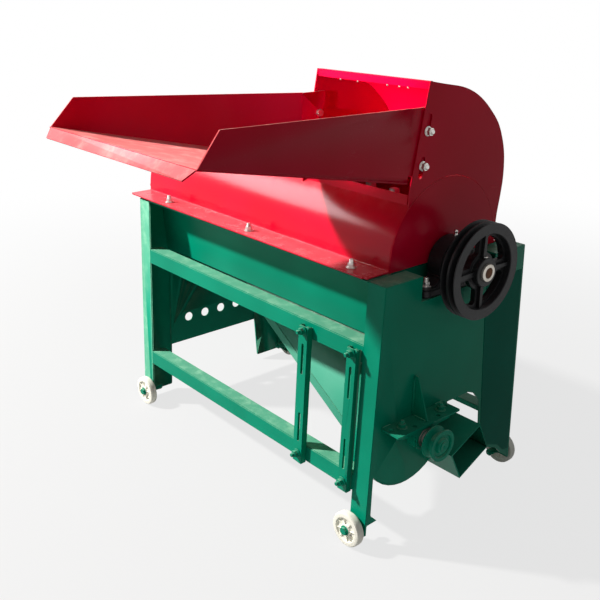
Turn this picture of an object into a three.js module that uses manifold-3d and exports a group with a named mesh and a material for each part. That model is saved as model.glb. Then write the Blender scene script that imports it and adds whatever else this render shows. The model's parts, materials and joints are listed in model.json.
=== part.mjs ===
// A maize threshing machine (corn sheller) on four small wheels.
// Millimetres, +Z up. +X points to the belt pulleys, -Y to the feed tray.
// The machine is modelled round the middle of its frame and shifted once, at the end, so that the
// origin lies at the bottom centre of the whole machine.
import * as THREE from 'three';
import { mergeVertices } from 'three/addons/utils/BufferGeometryUtils.js';
import Module from 'manifold-3d';

const wasm = await Module();
wasm.setup();

// Driving sizes of the frame
const frameLength = 740;
const halfLength = frameLength / 2;
const frameTop = 475;
const frameTopWidth = 349;
const frameFootWidth = 402;
const legBottom = 26;
const leftLegBottom = 13;
const endSheet = 3;
const legFlange = 38;

// Driving sizes of the rails and the two slotted bars
const railSize = 30;
const railSheet = 3;
const upperRailDrop = 106.5;
const upperRailTop = frameTop - upperRailDrop;
const lowerRailTop = 130.5;
const barWidth = 24;
const barDepth = 11;
const barSheet = 2.5;
const rightBarInset = 53;
const barPitch = 120;
const rightBarX = halfLength - rightBarInset;
const leftBarX = rightBarX - barPitch;
const barOverhang = 4;
const slotWidth = 6;
const slotLength = 58;
const slotInset = 24;

// Driving sizes of the threshing drum, its screen and its cover
const drumAxisZ = frameTop;
const shaftDiameter = 30;
const drumTubeRadius = 62;
const drumTubeSheet = 3;
const toothTipRadius = 98;
const barCount = 4;
const teethPerBar = 11;
const toothLength = 14;
const toothWidth = 12;
const drumBarWidth = 18;
const drumBarHeight = 9;
const paddleLength = 34;
const screenRadius = 110;
const screenSheet = 3;
const coverRadius = 129;
const coverLift = 10;
const coverAxisZ = drumAxisZ + coverLift;
const coverSheet = 2;
const coverOverhang = 30;
const coverInset = 40;
const coverLeftX = -halfLength - coverOverhang;
const coverRightX = halfLength - coverInset;
const coverFlangeY = 180;

// Driving sizes of the hood and the feed tray
const hoodLength = 254;
const hoodLeftX = coverRightX - hoodLength;
const hoodRise = 150;
const hoodTop = coverAxisZ + coverRadius + hoodRise;
const hoodSheet = 2;
const hoodFrontY = -60;
const fasciaHeight = 12;
const trayFrontY = -520;
const trayRearY = -96;
const trayLift = 131;
const trayRise = 90;
const trayWallDrop = 37;
const trayWallRise = 18;
const trayRearZ = coverAxisZ + trayLift;
const trayFrontZ = trayRearZ + trayRise;
const trayRearWallZ = hoodTop - trayWallDrop;
const trayFrontWallZ = trayRearWallZ + trayWallRise;
const trayFrontWallY = -482;
const trayFlare = 68;
const traySheet = 2;
const trayLip = 13;

// Driving sizes of the pulleys, the fan and its duct
const pulleyRadius = 80;
const pulleyWidth = 28;
const pulleyReach = 52;
const pulleyFaceX = halfLength + pulleyReach;
const fanAxisY = -96;
const fanAxisZ = 199;
const fanShaftDiameter = 16;
const fanPulleyRadius = 28.5;
const fanPulleyWidth = 22;
const fanPulleyReach = 70;
const fanPulleyFaceX = halfLength + fanPulleyReach;
const casingSheet = 2.5;
const casingInset = 98;
const casingLeftX = halfLength - casingInset;
const casingLeastRadius = 96;
const casingMostRadius = 107;
const ductWidth = 80;
const ductHeight = 62;
const ductY = -22;
const ductZ = 160;
const ductAngle = THREE.MathUtils.degToRad(26.6);
const ductReach = 70;
const ductFaceX = halfLength + ductReach;
const shelfTop = 229.3;

// Driving sizes of the wheels
const wheelRadius = 32.5;
const wheelWidth = 16;
const axleDiameter = 8;

// Fits and overruns
const gap = 0.3;
const runningGap = 0.3;
const pressGap = 0.3;
const seam = 0.4;
const overrun = 5;
const holeClearance = 0.6;
const shaftClearance = 3;
const mouthClearance = 1.3;

// Facets round a full circle
const fineFacets = 48;
const middleFacets = 24;
const smallFacets = 12;
const shankFacets = 8;

const legSlope = (frameFootWidth - frameTopWidth) / 2 / (frameTop - legBottom);
const legFace = (z) => frameTopWidth / 2 + legSlope * (frameTop - z);

// Paints
const paint = (color, roughness, metalness) => (
  new THREE.MeshStandardMaterial({ color, roughness, metalness }));
const redPaint = paint(0xb80f22, 0.3, 0.1);
const greenPaint = paint(0x0c8a63, 0.4, 0.1);
const blackPaint = paint(0x17181a, 0.5, 0.3);
const bareSteel = paint(0x9a9da0, 0.4, 0.9);
const zincPlate = paint(0xc9cbc6, 0.35, 0.9);
const nylon = paint(0xe9e6dc, 0.5, 0);

// Solids
function solid(geometry) {
  const bare = geometry.clone();
  for (const name of Object.keys(bare.attributes)) {
    if (name !== 'position') bare.deleteAttribute(name);
  }
  const merged = mergeVertices(bare);
  return new wasm.Manifold(new wasm.Mesh({
    numProp: 3,
    vertProperties: new Float32Array(merged.attributes.position.array),
    triVerts: new Uint32Array(merged.index.array),
  }));
}

function geometryOf(body) {
  const mesh = body.getMesh();
  const geometry = new THREE.BufferGeometry();
  geometry.setAttribute('position', new THREE.BufferAttribute(new Float32Array(mesh.vertProperties), 3));
  geometry.setIndex(new THREE.BufferAttribute(new Uint32Array(mesh.triVerts), 1));
  geometry.computeVertexNormals();
  return geometry;
}

const join = (first, ...others) => others.reduce((whole, next) => whole.add(next), first);
const cut = (first, ...others) => others.reduce((whole, next) => whole.subtract(next), first);

// A box between two values on each axis
function block(x, y, z) {
  const geometry = new THREE.BoxGeometry(x[1] - x[0], y[1] - y[0], z[1] - z[0]);
  geometry.translate((x[0] + x[1]) / 2, (y[0] + y[1]) / 2, (z[0] + z[1]) / 2);
  return solid(geometry);
}

const outline = (points) => new THREE.Shape(points.map(([a, b]) => new THREE.Vector2(a, b)));
const straight = (depth) => ({ depth, bevelEnabled: false, curveSegments: middleFacets });

// An outline drawn in Y and Z, run along X
function alongX(points, x) {
  const shape = Array.isArray(points) ? outline(points) : points;
  const geometry = new THREE.ExtrudeGeometry(shape, straight(x[1] - x[0]));
  geometry.applyMatrix4(new THREE.Matrix4().makeBasis(
    new THREE.Vector3(0, 1, 0),
    new THREE.Vector3(0, 0, 1),
    new THREE.Vector3(1, 0, 0),
  ));
  geometry.translate(x[0], 0, 0);
  return solid(geometry);
}

// An outline drawn in X and Z, run along Y
function alongY(points, y) {
  const shape = Array.isArray(points) ? outline(points) : points;
  const geometry = new THREE.ExtrudeGeometry(shape, straight(y[1] - y[0]));
  geometry.applyMatrix4(new THREE.Matrix4().makeBasis(
    new THREE.Vector3(1, 0, 0),
    new THREE.Vector3(0, 0, 1),
    new THREE.Vector3(0, -1, 0),
  ));
  geometry.translate(0, y[1], 0);
  return solid(geometry);
}

// Round bars along each axis
function rodX(radius, x, y, z, facets = middleFacets) {
  const geometry = new THREE.CylinderGeometry(radius, radius, x[1] - x[0], facets);
  geometry.rotateZ(-Math.PI / 2);
  geometry.translate((x[0] + x[1]) / 2, y, z);
  return solid(geometry);
}

function rodY(radius, x, y, z, facets = middleFacets) {
  const geometry = new THREE.CylinderGeometry(radius, radius, y[1] - y[0], facets);
  geometry.translate(x, (y[0] + y[1]) / 2, z);
  return solid(geometry);
}

function rodZ(radius, x, y, z, facets = middleFacets) {
  const geometry = new THREE.CylinderGeometry(radius, radius, z[1] - z[0], facets);
  geometry.rotateX(Math.PI / 2);
  geometry.translate(x, y, (z[0] + z[1]) / 2);
  return solid(geometry);
}

// A turned piece about X: the profile holds pairs of radius and X
function turnedX(profile, y, z, facets) {
  const points = profile.map(([radius, x]) => new THREE.Vector2(radius, x));
  points.push(points[0].clone());
  const geometry = new THREE.LatheGeometry(points, facets);
  geometry.rotateZ(-Math.PI / 2);
  geometry.translate(0, y, z);
  return facing(geometry);
}

// A turned piece about Y: the profile holds pairs of radius and Y
function turnedY(profile, x, z, facets) {
  const points = profile.map(([radius, y]) => new THREE.Vector2(radius, y));
  points.push(points[0].clone());
  const geometry = new THREE.LatheGeometry(points, facets);
  geometry.translate(x, 0, z);
  return facing(geometry);
}

// Turns a closed surface right side out where its profile ran the other way
function facing(geometry) {
  const bare = geometry.clone();
  bare.deleteAttribute('normal');
  bare.deleteAttribute('uv');
  const merged = mergeVertices(bare);
  const at = merged.attributes.position;
  const order = merged.index.array;
  const [a, b, c] = [new THREE.Vector3(), new THREE.Vector3(), new THREE.Vector3()];
  let volume = 0;
  for (let i = 0; i < order.length; i += 3) {
    a.fromBufferAttribute(at, order[i]);
    b.fromBufferAttribute(at, order[i + 1]);
    c.fromBufferAttribute(at, order[i + 2]);
    volume += a.dot(b.cross(c));
  }
  if (volume < 0) {
    for (let i = 0; i < order.length; i += 3) {
      [order[i], order[i + 1]] = [order[i + 1], order[i]];
    }
  }
  return solid(merged);
}

// A flat plate in space: corners of a convex outline and its thickness, laid on the side of the normal
function plate(corners, thickness) {
  const points = corners.map((p) => new THREE.Vector3(...p));
  const normal = new THREE.Vector3()
    .crossVectors(points[1].clone().sub(points[0]), points[2].clone().sub(points[0]))
    .normalize()
    .multiplyScalar(thickness);
  const all = [...points, ...points.map((p) => p.clone().add(normal))];
  const count = points.length;
  const order = [];
  for (let i = 1; i < count - 1; i += 1) {
    order.push(0, i + 1, i, count, count + i, count + i + 1);
  }
  for (let i = 0; i < count; i += 1) {
    const next = (i + 1) % count;
    order.push(i, next, count + next, i, count + next, count + i);
  }
  const geometry = new THREE.BufferGeometry();
  geometry.setAttribute('position', new THREE.Float32BufferAttribute(all.flatMap((p) => p.toArray()), 3));
  geometry.setIndex(order);
  return solid(geometry);
}

// Points on an arc about a centre, from one angle to another in degrees
function arc(centreA, centreB, radius, from, to, steps) {
  return Array.from({ length: steps + 1 }, (_, i) => {
    const angle = THREE.MathUtils.degToRad(from + ((to - from) * i) / steps);
    return [centreA + radius * Math.cos(angle), centreB + radius * Math.sin(angle)];
  });
}

const machine = new THREE.Group();
function add(name, body, material) {
  const mesh = new THREE.Mesh(geometryOf(body), material);
  mesh.name = name;
  machine.add(mesh);
  return mesh;
}

// A slab that leans with the legs: offsets out from the leg face, on the front (side -1) or back (side 1)
function leaningSlab(side, inner, outer, z) {
  const points = [
    [side * (legFace(z[0]) + inner), z[0]],
    [side * (legFace(z[0]) + outer), z[0]],
    [side * (legFace(z[1]) + outer), z[1]],
    [side * (legFace(z[1]) + inner), z[1]],
  ];
  return points;
}

// Hexagon bolt along one axis: head, shank, washer and nut, as one solid.
// The places run along the bolt: head end, head seat, washer seat, nut end and tip.
const boltRadius = 4;
const boltHead = 6.5;
const boltWasher = 9;
const washerSheet = 1.6;
const headHeight = 5.3;
const nutHeight = 6.5;
const boltTip = 6;
const hexFacets = 6;

function boltSolid(rod, place, seats, direction) {
  const span = (from, to) => [Math.min(from, to), Math.max(from, to)];
  const [headSeat, nutSeat] = seats;
  const head = rod(boltHead, span(headSeat, headSeat - direction * headHeight), place, hexFacets);
  const washer = rod(boltWasher, span(nutSeat, nutSeat + direction * washerSheet), place, smallFacets);
  const nutFrom = nutSeat + direction * washerSheet;
  const nutTo = nutFrom + direction * nutHeight;
  const nut = rod(boltHead, span(nutFrom, nutTo), place, hexFacets);
  const shank = rod(boltRadius, span(headSeat, nutTo + direction * boltTip), place, shankFacets);
  return join(head, shank, washer, nut);
}

const rodAlongX = (radius, span, [y, z], facets) => rodX(radius, span, y, z, facets);
const rodAlongY = (radius, span, [x, z], facets) => rodY(radius, x, span, z, facets);
const rodAlongZ = (radius, span, [x, y], facets) => rodZ(radius, x, y, span, facets);
const boltHole = boltRadius + holeClearance;

// End plates: a folded sheet with flanges along its legs and its top
const flangeInner = halfLength - legFlange;
const bearingDrop = 43;
const bearingSeatZ = drumAxisZ - bearingDrop;
const seatDepth = 44;
const rightNotchHalf = 92;
const leftNotchHalf = 119;
const axleZ = wheelRadius;
const axleInset = 29;
const axleX = halfLength - axleInset;

function trapezoid(inset, bottom) {
  const top = frameTop - inset;
  return [
    [-(legFace(bottom) - inset), bottom],
    [legFace(bottom) - inset, bottom],
    [legFace(top) - inset, top],
    [-(legFace(top) - inset), top],
  ];
}

// The cut-outs under the plates, as shares of half the foot width and of the frame's height
const leftArchShares = [
  [-0.645, 0.015], [-0.607, 0.25], [-0.597, 0.308], [-0.562, 0.345], [-0.502, 0.378], [-0.423, 0.392],
  [0.423, 0.392], [0.502, 0.378], [0.562, 0.345], [0.597, 0.308], [0.607, 0.25], [0.645, 0.015],
];
const rightArchShares = [
  [-0.984, 0.03], [-0.977, 0.097], [-0.856, 0.099], [-0.934, 0.133], [-0.921, 0.295], [-0.816, 0.257],
  [-0.721, 0.234], [-0.607, 0.217], [-0.517, 0.213],
  [-0.542, 0.293], [-0.672, 0.404], [-0.637, 0.446], [-0.547, 0.4695], [0.249, 0.4695], [0.338, 0.453],
  [0.423, 0.408], [0.443, 0.362], [0.463, 0.274], [0.557, 0.177], [0.766, 0.139], [0.856, 0.1],
  [0.984, 0.061], [0.984, 0.03],
];
const footHalf = frameFootWidth / 2;
const archOf = (shares) => shares.map(([a, b]) => [a * footHalf, b * frameTop]);

function endPlate(arch, bottom, mirror) {
  const outerBody = alongX(trapezoid(0, bottom), [flangeInner, halfLength]);
  const innerBody = alongX(trapezoid(endSheet, bottom - overrun),
    [flangeInner - overrun, halfLength - endSheet]);
  const archBody = alongX(archOf(arch), [halfLength - endSheet - overrun, halfLength + overrun]);
  let body = cut(outerBody, innerBody, archBody);
  for (const side of [-1, 1]) {
    const hole = rodY(axleDiameter / 2 + holeClearance, axleX,
      [side > 0 ? 0 : -frameFootWidth, side > 0 ? frameFootWidth : 0], axleZ, smallFacets);
    body = cut(body, hole);
  }
  return mirror ? body.mirror([1, 0, 0]) : body;
}

const rightNotch = block([flangeInner - overrun, halfLength + overrun], [-rightNotchHalf, rightNotchHalf],
  [bearingSeatZ, frameTop + overrun]);
const rightSeat = block([halfLength - seatDepth, halfLength], [-rightNotchHalf, rightNotchHalf],
  [bearingSeatZ - endSheet, bearingSeatZ]);
const bearingBoltPitch = 121;
const blockBodyDepth = 34;
const rightBearingX = coverRightX + hoodSheet + gap + blockBodyDepth / 2;
const seatHoles = [-1, 1].map((side) => rodZ(boltHole, rightBearingX, (side * bearingBoltPitch) / 2,
  [bearingSeatZ - endSheet - overrun, bearingSeatZ + overrun], smallFacets));
const rightPlate = cut(endPlate(rightArchShares, legBottom, false), rightNotch);
add('end_plate_right', cut(join(rightPlate, rightSeat), ...seatHoles), greenPaint);

const screenOuter = screenRadius + screenSheet;
const leftNotch = block([-halfLength - overrun, -flangeInner + overrun], [-leftNotchHalf, leftNotchHalf],
  [frameTop - endSheet - overrun, frameTop + overrun]);
const leftMouth = rodX(screenOuter + mouthClearance,
  [-halfLength - overrun, -halfLength + endSheet + overrun], 0, drumAxisZ, fineFacets);
add('end_plate_left', cut(endPlate(leftArchShares, leftLegBottom, true), leftNotch, leftMouth), greenPaint);

// Rails: angle sections between the legs, leaning with them
const railHalf = flangeInner - gap;
const railMid = (top) => top - railSize / 2;
function railSection(side, top) {
  const bottom = top - railSize;
  const face = (z) => side * legFace(z);
  return [
    [face(top), top],
    [face(bottom), bottom],
    [face(bottom) - side * railSheet, bottom],
    [face(top - railSheet) - side * railSheet, top - railSheet],
    [face(top) - side * railSize, top - railSheet],
    [face(top) - side * railSize, top],
  ];
}

const widthReach = (frameTopWidth + frameFootWidth) / 2 + overrun;
const railHoles = (top) => [leftBarX, rightBarX].flatMap((x) => [x, x - barWidth / 2 - boltRadius])
  .map((x) => rodY(boltHole, x, [-widthReach, 0], railMid(top), smallFacets));

for (const [name, side, top] of [
  ['rail_front_upper', -1, upperRailTop],
  ['rail_front_lower', -1, lowerRailTop],
  ['rail_back_upper', 1, upperRailTop],
  ['rail_back_lower', 1, lowerRailTop],
]) {
  const rail = alongX(railSection(side, top), [-railHalf, railHalf]);
  add(name, side < 0 ? cut(rail, ...railHoles(top)) : rail, greenPaint);
}

// Slotted bars: channels bolted on the front rails, open towards the rails
const barBottom = lowerRailTop - railSize - barOverhang;
const barTop = upperRailTop - barOverhang * 2;
function slottedBar(x) {
  const z = [barBottom, barTop];
  const half = barWidth / 2;
  const web = alongX(leaningSlab(-1, barDepth - barSheet, barDepth, z), [x - half, x + half]);
  const sides = [-1, 1].map((side) => {
    const outer = x + side * half;
    const inner = outer - side * barSheet;
    return alongX(leaningSlab(-1, gap, barDepth, z), [Math.min(outer, inner), Math.max(outer, inner)]);
  });
  const slots = [
    [railMid(upperRailTop) - slotInset - slotLength, railMid(upperRailTop) - slotInset],
    [railMid(lowerRailTop) + slotInset, railMid(lowerRailTop) + slotInset + slotLength],
  ].map(([from, to]) => {
    const radius = slotWidth / 2;
    const shape = outline([
      ...arc(x, to - radius, radius, 0, 180, smallFacets / 2),
      ...arc(x, from + radius, radius, 180, 360, smallFacets / 2),
    ]);
    return alongY(shape, [-widthReach, 0]);
  });
  const holes = [upperRailTop, lowerRailTop].map((top) => (
    rodY(boltHole, x, [-widthReach, 0], railMid(top), smallFacets)));
  return cut(join(web, ...sides), ...slots, ...holes);
}
add('motor_bar_left', slottedBar(leftBarX), greenPaint);
add('motor_bar_right', slottedBar(rightBarX), greenPaint);

const leanGap = gap + legSlope * boltWasher;
for (const [name, x, top] of [
  ['bar_bolt_left_upper', leftBarX, upperRailTop],
  ['bar_bolt_left_lower', leftBarX, lowerRailTop],
  ['bar_bolt_right_upper', rightBarX, upperRailTop],
  ['bar_bolt_right_lower', rightBarX, lowerRailTop],
]) {
  const z = railMid(top);
  const headSeat = -(legFace(z) - railSheet - leanGap);
  const nutSeat = -(legFace(z) + barDepth + leanGap);
  add(name, boltSolid(rodAlongY, [x, z], [headSeat, nutSeat], -1), greenPaint);
}

// Side sheets of the drum trough: a panel, nearly upright, and a flange folded out under the cover
const troughSheet = 2;
const panelTopY = 124;
const panelBottomY = 116;
const panelDrop = 124;
const panelBottomZ = frameTop - panelDrop;
const sideFlangeY = 176;
const panelHalf = halfLength - endSheet - gap;
const coverBoltInset = 95;
const coverBoltX = halfLength - coverBoltInset;
const coverBoltY = 158;
const coverBolts = [-1, 0, 1].map((step) => step * coverBoltX);
const flangeHoles = (side) => coverBolts.map((x) => rodZ(boltHole, x, side * coverBoltY,
  [frameTop - overrun * 2, frameTop + overrun * 2], smallFacets));

function sideSheet(side) {
  const profile = [
    [side * panelBottomY, panelBottomZ],
    [side * panelTopY, frameTop - troughSheet],
    [side * sideFlangeY, frameTop - troughSheet],
    [side * sideFlangeY, frameTop],
    [side * (panelTopY - troughSheet), frameTop],
    [side * (panelBottomY - troughSheet), panelBottomZ],
  ];
  const whole = alongX(profile, [-panelHalf, panelHalf]);
  const ends = [-1, 1].map((end) => {
    const from = end * railHalf;
    const to = end * (halfLength + overrun);
    const depth = [Math.min(from, to), Math.max(from, to)];
    const y = [side * (panelBottomY - overrun * 2), side * (frameFootWidth / 2)].sort((a, b) => a - b);
    return block(depth, y, [frameTop - endSheet - gap, frameTop + overrun]);
  });
  return cut(whole, ...ends, ...flangeHoles(side));
}
add('side_sheet_front', sideSheet(-1), greenPaint);
add('side_sheet_back', sideSheet(1), greenPaint);

// Threshing screen: a half round sheet under the drum, with slots that let the grain through
const screenOverhang = 10;
const screenLeftX = -halfLength - screenOverhang;
const screenInset = 8;
const screenRightX = coverRightX - screenInset;
const screenFlangeY = 170;
const screenFlangeSheet = 2;
const screenRimLap = 1;
const screenSlotRows = 7;
const screenSlotColumns = 4;
const screenSlotWidth = 18;
const screenSlotAngle = 20;
const screenSlotStep = 32;
const screenSlotMiddle = 270;
const screenSlotStart = 95;
const screenSlotEnd = 97;
const screenSlotRoom = screenRightX - screenLeftX - screenSlotStart - screenSlotEnd - screenSlotWidth;
const screenSlotPitch = screenSlotRoom / (screenSlotRows - 1);

function threshingScreen() {
  const shell = [
    ...arc(0, drumAxisZ, screenOuter, 180, 360, fineFacets / 2),
    ...arc(0, drumAxisZ, screenRadius, 360, 180, fineFacets / 2),
  ];
  const flangeZ = [frameTop + gap, frameTop + gap + screenFlangeSheet];
  const body = alongX(shell, [screenLeftX, screenRightX]);
  const rims = [-1, 1].flatMap((side) => {
    const inner = side * screenRadius;
    const outer = side * screenFlangeY;
    const neck = side * screenOuter;
    const flange = block([-railHalf, screenRightX], [Math.min(inner, outer), Math.max(inner, outer)],
      flangeZ);
    const edge = block([-railHalf, screenRightX], [Math.min(inner, neck), Math.max(inner, neck)],
      [drumAxisZ - screenRimLap, flangeZ[1]]);
    return [flange, edge];
  });
  let screen = join(body, ...rims);
  for (let row = 0; row < screenSlotRows; row += 1) {
    const x = screenLeftX + screenSlotStart + row * screenSlotPitch;
    for (let column = 0; column < screenSlotColumns; column += 1) {
      const middle = screenSlotMiddle + (column - (screenSlotColumns - 1) / 2) * screenSlotStep;
      const wedge = [
        [0, drumAxisZ],
        ...arc(0, drumAxisZ, screenOuter + overrun, middle - screenSlotAngle / 2,
          middle + screenSlotAngle / 2, 1),
      ];
      screen = cut(screen, alongX(wedge, [x, x + screenSlotWidth]));
    }
  }
  return cut(screen, ...flangeHoles(-1), ...flangeHoles(1));
}
add('threshing_screen', threshingScreen(), bareSteel);

// Sheet that closes the drum trough at the pulley end, with a notch for the shaft
const shaftPass = shaftDiameter / 2 + shaftClearance;
const closerX = [screenRightX + gap, screenRightX + gap + troughSheet];
function endCloser() {
  const inner = (z) => panelBottomY - troughSheet - gap
    + ((panelTopY - panelBottomY) * (z - panelBottomZ)) / (frameTop - panelBottomZ) - gap;
  const top = frameTop - gap;
  const sheet = alongX([
    [-inner(panelBottomZ), panelBottomZ],
    [inner(panelBottomZ), panelBottomZ],
    [inner(top), top],
    [-inner(top), top],
  ], closerX);
  return cut(sheet, rodX(shaftPass, [closerX[0] - overrun, closerX[1] + overrun], 0, drumAxisZ));
}
add('trough_end_sheet', endCloser(), greenPaint);

// Grain slide: a sloping sheet with closed sides, from under the screen down to the fan end
const slideHalf = panelBottomY - troughSheet - gap;
const slideSide = 22;
const slideSheet = 2;
const slideLeftDrop = 120;
const slideBendDrop = 129;
const slideRun = 367.7;
const slideSlope = 0.641;
const slideLeftZ = frameTop - slideLeftDrop;
const slideBendZ = frameTop - slideBendDrop;
const slideEndX = casingLeftX - gap;
const slideBendX = slideEndX - slideRun;
const slideEndZ = slideBendZ - slideSlope * slideRun;

function grainSlide() {
  const slope = (lift) => [
    [-panelHalf, slideLeftZ + lift],
    [slideBendX, slideBendZ + lift],
    [slideEndX, slideEndZ + lift],
  ];
  const under = slope(-slideSheet);
  const sheet = [...under, ...slope(0).reverse()];
  const wall = [
    ...under,
    [slideEndX, slideBendZ + slideSide],
    [slideBendX, slideBendZ + slideSide],
    [-panelHalf, slideLeftZ + slideSide],
  ];
  const floor = alongY(sheet, [-slideHalf, slideHalf]);
  const front = alongY(wall, [-slideHalf, -slideHalf + slideSheet]);
  const back = alongY(wall, [slideHalf - slideSheet, slideHalf]);
  const aboveScreen = rodX(screenOuter + gap * 2, [screenLeftX - overrun, slideEndX],
    0, drumAxisZ, fineFacets);
  return cut(join(floor, front, back), aboveScreen);
}
add('grain_slide', grainSlide(), greenPaint);

// Cob guard sheet outside the left end plate, with a row of round holes
const guardX = [-halfLength - gap - troughSheet, -halfLength - gap];
const guardHalf = 150;
const guardBottomZ = 113;
const guardDrop = 123;
const guardZ = [guardBottomZ, frameTop - guardDrop];
const guardHoleRadius = 10;
const guardHolePitch = 46;
const guardHoleZ = 170.5;
const guardHoles = [-1.5, -0.5, 0.5, 1.5].map((step) => rodX(guardHoleRadius,
  [guardX[0] - overrun, guardX[1] + overrun], step * guardHolePitch, guardHoleZ, smallFacets));
add('cob_guard_sheet', cut(block(guardX, [-guardHalf, guardHalf], guardZ), ...guardHoles), greenPaint);

// Bridge that carries the drum bearing past the cob outlet at the left end
const bridgeHalf = 136;
const bridgeSheet = 4;
const bridgeHeight = 40;
const bridgeFoot = 18;
const bridgeLeftX = coverLeftX - seatDepth + coverSheet;
const bridgeSeatX = [bridgeLeftX, bridgeLeftX + seatDepth];
const leftBearingX = bridgeLeftX + seatDepth / 2;
const bridgeArmZ = [bearingSeatZ - bridgeHeight, bearingSeatZ];

function bearingBridge() {
  const seat = block(bridgeSeatX, [-bridgeHalf, bridgeHalf], [bearingSeatZ - bridgeSheet, bearingSeatZ]);
  const parts = [-1, 1].flatMap((side) => {
    const outer = side * bridgeHalf;
    const inner = side * (bridgeHalf - bridgeSheet);
    const footInner = side * (bridgeHalf - bridgeFoot);
    const arm = block([bridgeLeftX, -halfLength - gap], [Math.min(outer, inner), Math.max(outer, inner)],
      bridgeArmZ);
    const foot = block([-halfLength - gap - bridgeSheet, -halfLength - gap],
      [Math.min(outer, footInner), Math.max(outer, footInner)], bridgeArmZ);
    return [arm, foot];
  });
  const holes = [-1, 1].map((side) => rodZ(boltHole, leftBearingX, (side * bearingBoltPitch) / 2,
    [bearingSeatZ - bridgeSheet - overrun, bearingSeatZ + overrun], smallFacets));
  return cut(join(seat, ...parts), ...holes);
}
add('bearing_bridge_left', bearingBridge(), greenPaint);

// Pillow blocks of the drum shaft
const blockFootHalf = 82;
const blockFootHeight = 16;
const blockFootDepth = 40;
const studLap = 1;
const blockBodyRadius = 44;
const blockBaseZ = bearingSeatZ + gap;
const shaftBore = shaftDiameter / 2 + runningGap;

function pillowBlock(x) {
  const half = blockFootDepth / 2;
  const body = blockBodyDepth / 2;
  const foot = block([x - half, x + half], [-blockFootHalf, blockFootHalf],
    [blockBaseZ, blockBaseZ + blockFootHeight]);
  const round = rodX(blockBodyRadius, [x - body, x + body], 0, drumAxisZ, middleFacets);
  const web = block([x - body, x + body], [-blockBodyRadius, blockBodyRadius], [blockBaseZ, drumAxisZ]);
  const below = block([x - frameLength, x + frameLength], [-frameLength, frameLength],
    [-frameLength, blockBaseZ]);
  const bore = rodX(shaftBore, [x - half - overrun, x + half + overrun], 0, drumAxisZ, middleFacets);
  const studs = [-1, 1].map((side) => rodZ(boltHead, x, (side * bearingBoltPitch) / 2,
    [blockBaseZ + blockFootHeight - studLap, blockBaseZ + blockFootHeight + nutHeight * 2], hexFacets));
  return join(cut(join(foot, web, round), below, bore), ...studs);
}
add('drum_bearing_right', pillowBlock(rightBearingX), blackPaint);
add('drum_bearing_left', pillowBlock(leftBearingX), blackPaint);

// Drum cover: a half cylinder with flanges, a feed opening and an upturned lip along it
const coverFlangeBottom = frameTop + gap * 2 + screenFlangeSheet;
const coverFlangeZ = [coverFlangeBottom, coverFlangeBottom + coverSheet];
const coverInner = coverRadius - coverSheet;
const feedFrontY = -86;
const feedBackY = 92;
const feedLipRise = 110;
const feedLipTop = coverAxisZ + feedLipRise;
const feedInsetLeft = 6;
const feedInsetRight = 8;
const feedX = [hoodLeftX + feedInsetLeft, coverRightX - feedInsetRight];

function drumCover() {
  const x = [coverLeftX, coverRightX - gap];
  const shell = alongX([
    [coverRadius, coverFlangeZ[0]],
    ...arc(0, coverAxisZ, coverRadius, 0, 180, fineFacets / 2),
    [-coverRadius, coverFlangeZ[0]],
    [-coverInner, coverFlangeZ[0]],
    ...arc(0, coverAxisZ, coverInner, 180, 0, fineFacets / 2),
    [coverInner, coverFlangeZ[0]],
  ], x);
  const flangeRoot = coverRadius - coverSheet / 2;
  const flanges = [-1, 1].map((side) => block(x,
    [Math.min(side * flangeRoot, side * coverFlangeY), Math.max(side * flangeRoot, side * coverFlangeY)],
    coverFlangeZ));
  const discRadius = flangeRoot - gap;
  const end = alongX([
    [discRadius, coverFlangeZ[0] + gap],
    ...arc(0, coverAxisZ, discRadius, 0, 180, fineFacets / 2),
    [-discRadius, coverFlangeZ[0] + gap],
  ], [coverLeftX + gap, coverLeftX + gap + coverSheet]);
  const notch = rodX(shaftPass, [coverLeftX - overrun, coverLeftX + coverSheet + overrun], 0, drumAxisZ);
  const opening = block(feedX, [feedFrontY, feedBackY], [coverAxisZ, coverAxisZ + coverRadius * 2]);
  const lipFoot = coverAxisZ + Math.sqrt(coverInner ** 2 - feedFrontY ** 2) - coverSheet;
  const lipX = [feedX[0] - coverSheet, feedX[1] + coverSheet];
  const lip = block(lipX, [feedFrontY - coverSheet - gap, feedFrontY - gap], [lipFoot, feedLipTop]);
  const closed = join(cut(join(shell, ...flanges, end), opening), lip);
  return cut(closed, notch, ...flangeHoles(-1), ...flangeHoles(1));
}
add('drum_cover', drumCover(), redPaint);

for (const [row, side] of [['front', -1], ['back', 1]]) {
  coverBolts.forEach((x, index) => {
    add(`cover_bolt_${row}_${index + 1}`,
      boltSolid(rodAlongZ, [x, side * coverBoltY], [frameTop - troughSheet - gap, coverFlangeZ[1] + gap], 1),
      zincPlate);
  });
}

// Hood: two side plates and a bent shell over the feed opening
// Its outline from the front corner over the top to the back, as shares of the hood's reach and height
const hoodReach = 142;
const hoodShares = [
  [-0.187, 0.9785], [0.099, 0.954], [0.296, 0.922], [0.465, 0.877], [0.627, 0.815], [0.803, 0.727],
  [0.915, 0.626], [0.979, 0.524], [1, 0.396], [0.979, 0.283], [0.945, 0.162], [0.937, 0.0],
];
const hoodBase = coverFlangeZ[1] + gap;
const hoodHeight = hoodTop - hoodBase;
const hoodBack = hoodShares.map(([a, b]) => [a * hoodReach, hoodBase + b * hoodHeight]);
const hoodChinY = -93;
const hoodChinDrop = 16;
const hoodChinZ = trayRearZ - hoodChinDrop;

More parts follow.
